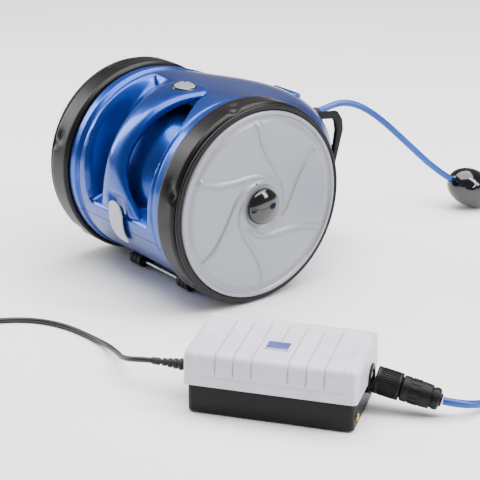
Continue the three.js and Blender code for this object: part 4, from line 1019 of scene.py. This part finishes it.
def make_supply():
    section, total = lid_section()
    pitch = 2 * PANEL_HALF / (GROOVES + 1)
    places = []
    half = SUPPLY_LENGTH / 2
    for k in range(8):
        places.append(-half + 6 * (1 - math.cos(math.pi / 2 * k / 8)))
    inner = []
    for number in range(-GROOVES // 2, GROOVES // 2 + 2):
        middle = number * pitch
        inner += [middle + d for d in (-9.5, -6, -3, -1.7, -1.2, -0.8, -0.4, 0, 0.4, 0.8, 1.2, 1.7, 3, 6)]
    edges = [s * (PANEL_HALF + d) for s in (-1, 1) for d in (-2, -1.2, -0.6, 0, 0.6, 1.2, 2, 5)]
    inner = sorted(v for v in inner + edges if abs(v) < half - 7)
    inner = [v for v, after in zip(inner, inner[1:] + [999]) if after - v > 0.25]
    places += inner + [-v for v in reversed(places)]
    sections = []
    for x in places:
        near = half - abs(x)
        inset = 6 - math.sqrt(max(0.0, 36 - (6 - near) ** 2)) if near < 6 else 0.0
        row = []
        for y, z, ny, nz, run in section:
            sunk = inset + (lid_relief(x, run, total) if inset == 0 else 0)
            row.append((x, y - ny * sunk, max(z - nz * sunk, LID_FROM) if z > LID_FROM + 0.01 else LID_FROM))
        sections.append(moved(row, SUPPLY))
    lid = lofted("supply_lid_moulding", sections, WHITE, 35, closed=False)
    face_outwards(lid, framed(SUPPLY @ Vector((0, 0, LID_FROM))))
    modify(lid, "SOLIDIFY", thickness=2.4 * MM, offset=-1.0)
    tidy_mesh(lid, 35)
    place_piece(lid, "root", ["supply_lid"])

    # the badge: a blank label in a thin raised frame, lying on the lid's slope
    deep = SUPPLY_DEPTH - FRONT_DRAFT - REAR_DRAFT
    lean = math.atan2(LID_DROP, deep)
    top = LID_TOP - LID_DROP * (SUPPLY_DEPTH / 2 - REAR_DRAFT + 13) / deep
    seat = SUPPLY @ Matrix.Translation((0, -13, top)) @ Matrix.Rotation(lean, 4, "X")
    plate = block("badge_frame", (-14.5, -9.5, -1.2), (14.5, 9.5, 0.2), WHITE, 0.4, seat)
    label = block("badge_face", (-12.6, -7.6, -0.5), (12.6, 7.6, 0.75), LABEL, 0.3, seat)
    place_piece(joined("supply_label", [plate, label]), "root", ["supply_badge"])

    eased_copy("supply_tray", "supply_base", "root", BLACK, 1.1, 3)
    for side in ("left", "right"):
        node = f"supply_{side}_foot"
        eased_copy(f"{node}_pad", node, "root", RUBBER, 0.5)
    low, high = local_box("supply_screw_cap")
    screw_at = SUPPLY.inverted() @ ((low + high) / 2)
    cap = SUPPLY @ Matrix.Translation((screw_at.x - 1.1, screw_at.y, screw_at.z))
    profile = [(0, 0), (4.5, 0), (4.5, 1.6), (3.6, 2.2), (2.6, 1.9), (2.4, 1.2), (0, 1.2)]
    screw = lathe_piece("supply_screw", profile, cap, BRASS, 0.25, 40)
    place_piece(screw, "root", ["supply_screw_cap"])

    socket = SUPPLY @ Matrix.Translation((SUPPLY_LENGTH / 2, 17, 35))
    profile = [(11.5, -20), (16, -20), (16, -0.5), (17.3, 0), (17.3, 1.4), (15.6, 2), (11.5, 2)]
    made = lathe_piece("cable_socket", profile, socket, BLACK, 0.4)
    place_piece(made, "root", ["supply_socket"])

    relief = SUPPLY @ Matrix.Translation((-SUPPLY_LENGTH / 2, -5.1, 34)) @ Matrix.Rotation(math.pi, 4, "Z")
    profile = [(0, -10), (6.5, -10), (6.5, 1), (8, 1)]
    for k in range(6):
        x, r = 2 + 6.6 * k, 8.2 - 0.72 * k
        profile += [(r, x), (r, x + 4.0), (r - 1.9, x + 4.6), (r - 1.9, x + 6.0)]
    profile += [(4.4, 43), (4.1, 51.6), (3.4, 52), (0, 52)]
    made = lathe_piece("ribbed_strain_relief", profile, relief, RUBBER, 0.6, 48)
    place_piece(made, "root", ["supply_strain_relief"])


def ridges_round(name, count, radius, width, depth, length, matrix, material):
    """Ridges set evenly round an axis by a node tree, made real and turned into a plain mesh."""
    tree = bpy.data.node_groups.new(name, "GeometryNodeTree")
    tree.interface.new_socket("Count", in_out="INPUT", socket_type="NodeSocketInt")
    tree.interface.new_socket("Radius", in_out="INPUT", socket_type="NodeSocketFloat")
    tree.interface.new_socket("Geometry", in_out="OUTPUT", socket_type="NodeSocketGeometry")
    entry = add(tree, "NodeGroupInput")
    points = add(tree, "GeometryNodeMeshCircle", {"Vertices": entry.outputs[0], "Radius": entry.outputs[1]})
    ridge = add(tree, "GeometryNodeMeshCube", {"Size": (depth * MM, width * MM, length * MM)})
    index = add(tree, "GeometryNodeInputIndex")
    turn = add(tree, "ShaderNodeMath", {0: index.outputs[0], 1: entry.outputs[0]}, operation="DIVIDE")
    angle = add(tree, "ShaderNodeMath", {0: turn.outputs[0], 1: 2 * math.pi}, operation="MULTIPLY")
    facing = add(tree, "ShaderNodeCombineXYZ", {"Z": angle.outputs[0]}).outputs[0]
    stood = {"Points": points.outputs["Mesh"], "Instance": ridge.outputs["Mesh"], "Rotation": facing}
    ring = add(tree, "GeometryNodeInstanceOnPoints", stood).outputs["Instances"]
    real = add(tree, "GeometryNodeRealizeInstances", {"Geometry": ring}).outputs["Geometry"]
    painted = add(tree, "GeometryNodeSetMaterial", {"Geometry": real, "Material": material})
    add(tree, "NodeGroupOutput", {0: painted.outputs["Geometry"]})
    made = linked(name, bpy.data.meshes.new(name))
    modifier = made.modifiers.new("ridges", "NODES")
    modifier.node_group = tree
    sockets = {item.name: item.identifier for item in tree.interface.items_tree if item.in_out == "INPUT"}
    modifier[sockets["Count"]] = count
    modifier[sockets["Radius"]] = radius * MM
    freeze(made)
    # the circle lies about Z; turn it about the given matrix's X axis
    stand = matrix @ Matrix.Rotation(math.pi / 2, 4, "Y")
    for vertex in made.data.vertices:
        vertex.co = framed(stand @ (vertex.co / MM))
    modify(made, "BEVEL", width=0.35 * MM, segments=2, limit_method="ANGLE")
    tidy_mesh(made, 50)
    return made


def make_connector():
    body = [(0, 1), (11.5, 1), (11.5, 29), (13.6, 29.4), (14.5, 31), (14.5, 37), (13.8, 37.6), (13.8, 52)]
    body += [(14.2, 52.6), (13.4, 62.5), (11.4, 63.2), (11.4, 64.4), (12.1, 65), (12.1, 70.5), (11.2, 72)]
    body += [(7.4, 73), (6.9, 75), (5.2, 75), (0, 75)]
    pieces = [lathe_piece("connector_tube", body, CONNECTOR, BLACK, 0.5, 72)]
    grips = CONNECTOR @ Matrix.Translation((44.3, 0, 0))
    pieces.append(ridges_round("connector_grips", 14, 14.0, 2.6, 0.9, 10.5, grips, BLACK))
    nut = CONNECTOR @ Matrix.Translation((67.8, 0, 0))
    pieces.append(ridges_round("gland_grips", 12, 12.0, 3.0, 0.9, 4.5, nut, BLACK))
    plug_body = joined("cable_connector", pieces)
    place_piece(plug_body, "root", ["connector_body"])

    ring = [(11.8, -0.6), (15.2, -0.6), (15.6, 0.4), (15.6, 4), (14.9, 4.6), (14.9, 24.4), (15.6, 25)]
    ring += [(15.6, 27.2), (15, 28), (11.8, 28)]
    pieces = [lathe_piece("ring_tube", ring, CONNECTOR, BLACK, 0.3, 72)]
    middle = CONNECTOR @ Matrix.Translation((14.5, 0, 0))
    pieces.append(ridges_round("ring_knurls", 36, 15.1, 1.3, 1.1, 19.2, middle, BLACK))
    made = joined("knurled_ring", pieces)
    place_piece(made, "coupling_ring", ["connector_ring"])
    return plug_body, made


def dress_hidden_nodes():
    """Gives every CAD node that is kept a procedural material too."""
    finishes = (
        (STEEL, ["axle", "drive_motor", "hinge_pin", "roller_pin", "pump_motor", "core"]),
        (BRONZE, ["bush"]),
        (COPPER, ["winding"]),
        (MESH, ["basket"]),
        (WHITE, ["pinion", "impeller"]),
        (RUBBER, ["flap"]),
    )
    for name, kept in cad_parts.items():
        chosen = BLACK
        for material, words in finishes:
            if any(word in name for word in words):
                chosen = material
        kept.data.materials.clear()
        kept.data.materials.append(chosen)


make_casing()
make_handle()
make_latch()
for side, sign in (("right", 1), ("left", -1)):
    make_tyre(side, sign)
    make_disc(side, sign)
make_rollers()
make_tail_fittings()
cable_float = make_float()
make_supply()
connector, coupling_ring = make_connector()
plug = eased_copy("moulded_plug", "mains_plug", "root", BLACK, 1.0, 3)
eased_copy("suction_plate_moulding", "suction_plate", "root", BLACK, 0.5)
eased_copy("outlet_grille_moulding", "outlet_grille", "root", BLACK, 0.4)
eased_copy("front_flap_moulding", "front_intake_flap", "front_flap", RUBBER, 0.5)
eased_copy("rear_flap_moulding", "rear_intake_flap", "rear_flap", RUBBER, 0.5)
dress_hidden_nodes()


# ---- stage
def make_stage():
    """A plain pale floor that the object stands on, under soft light from above, ahead and beside."""
    mesh = bpy.data.meshes.new("floor")
    reach = 6.0
    corners = [(-reach, -reach), (reach, -reach), (reach, reach), (-reach, reach)]
    mesh.from_pydata([(x, y, -0.0002) for x, y in corners], [], [(0, 1, 2, 3)])
    mesh.materials.append(new_material("matt_white_floor", Roughness=0.9, Base_Color=linear("#f4f4f4"))[0])
    linked("floor", mesh)
    world = bpy.data.worlds.new("studio")
    world.use_nodes = True
    sky = world.node_tree.nodes["Background"]
    sky.inputs["Color"].default_value, sky.inputs["Strength"].default_value = (1, 1, 1, 1), 0.3
    bpy.context.scene.world = world
    middle = OWN_POINT + Vector((0.1, 0, 0.1))
    lights = [
        ("overhead", (0.1, 0.3, 2.4), 3.2, 3.2, 230.0),
        ("left_strip", (-1.5, -0.7, 0.9), 0.45, 1.6, 26.0),
        ("right_strip", (1.4, 0.9, 1.1), 0.45, 1.4, 34.0),
    ]
    for name, offset, wide, high, power in lights:
        data = bpy.data.lights.new(name, "AREA")
        data.shape = "RECTANGLE"
        data.size, data.size_y = wide, high
        data.energy = power
        lamp = linked(name, data)
        lamp.location = middle + Vector(offset)
        lamp.rotation_mode = "QUATERNION"
        lamp.rotation_quaternion = (middle - lamp.location).to_track_quat("-Z", "Y")


make_stage()
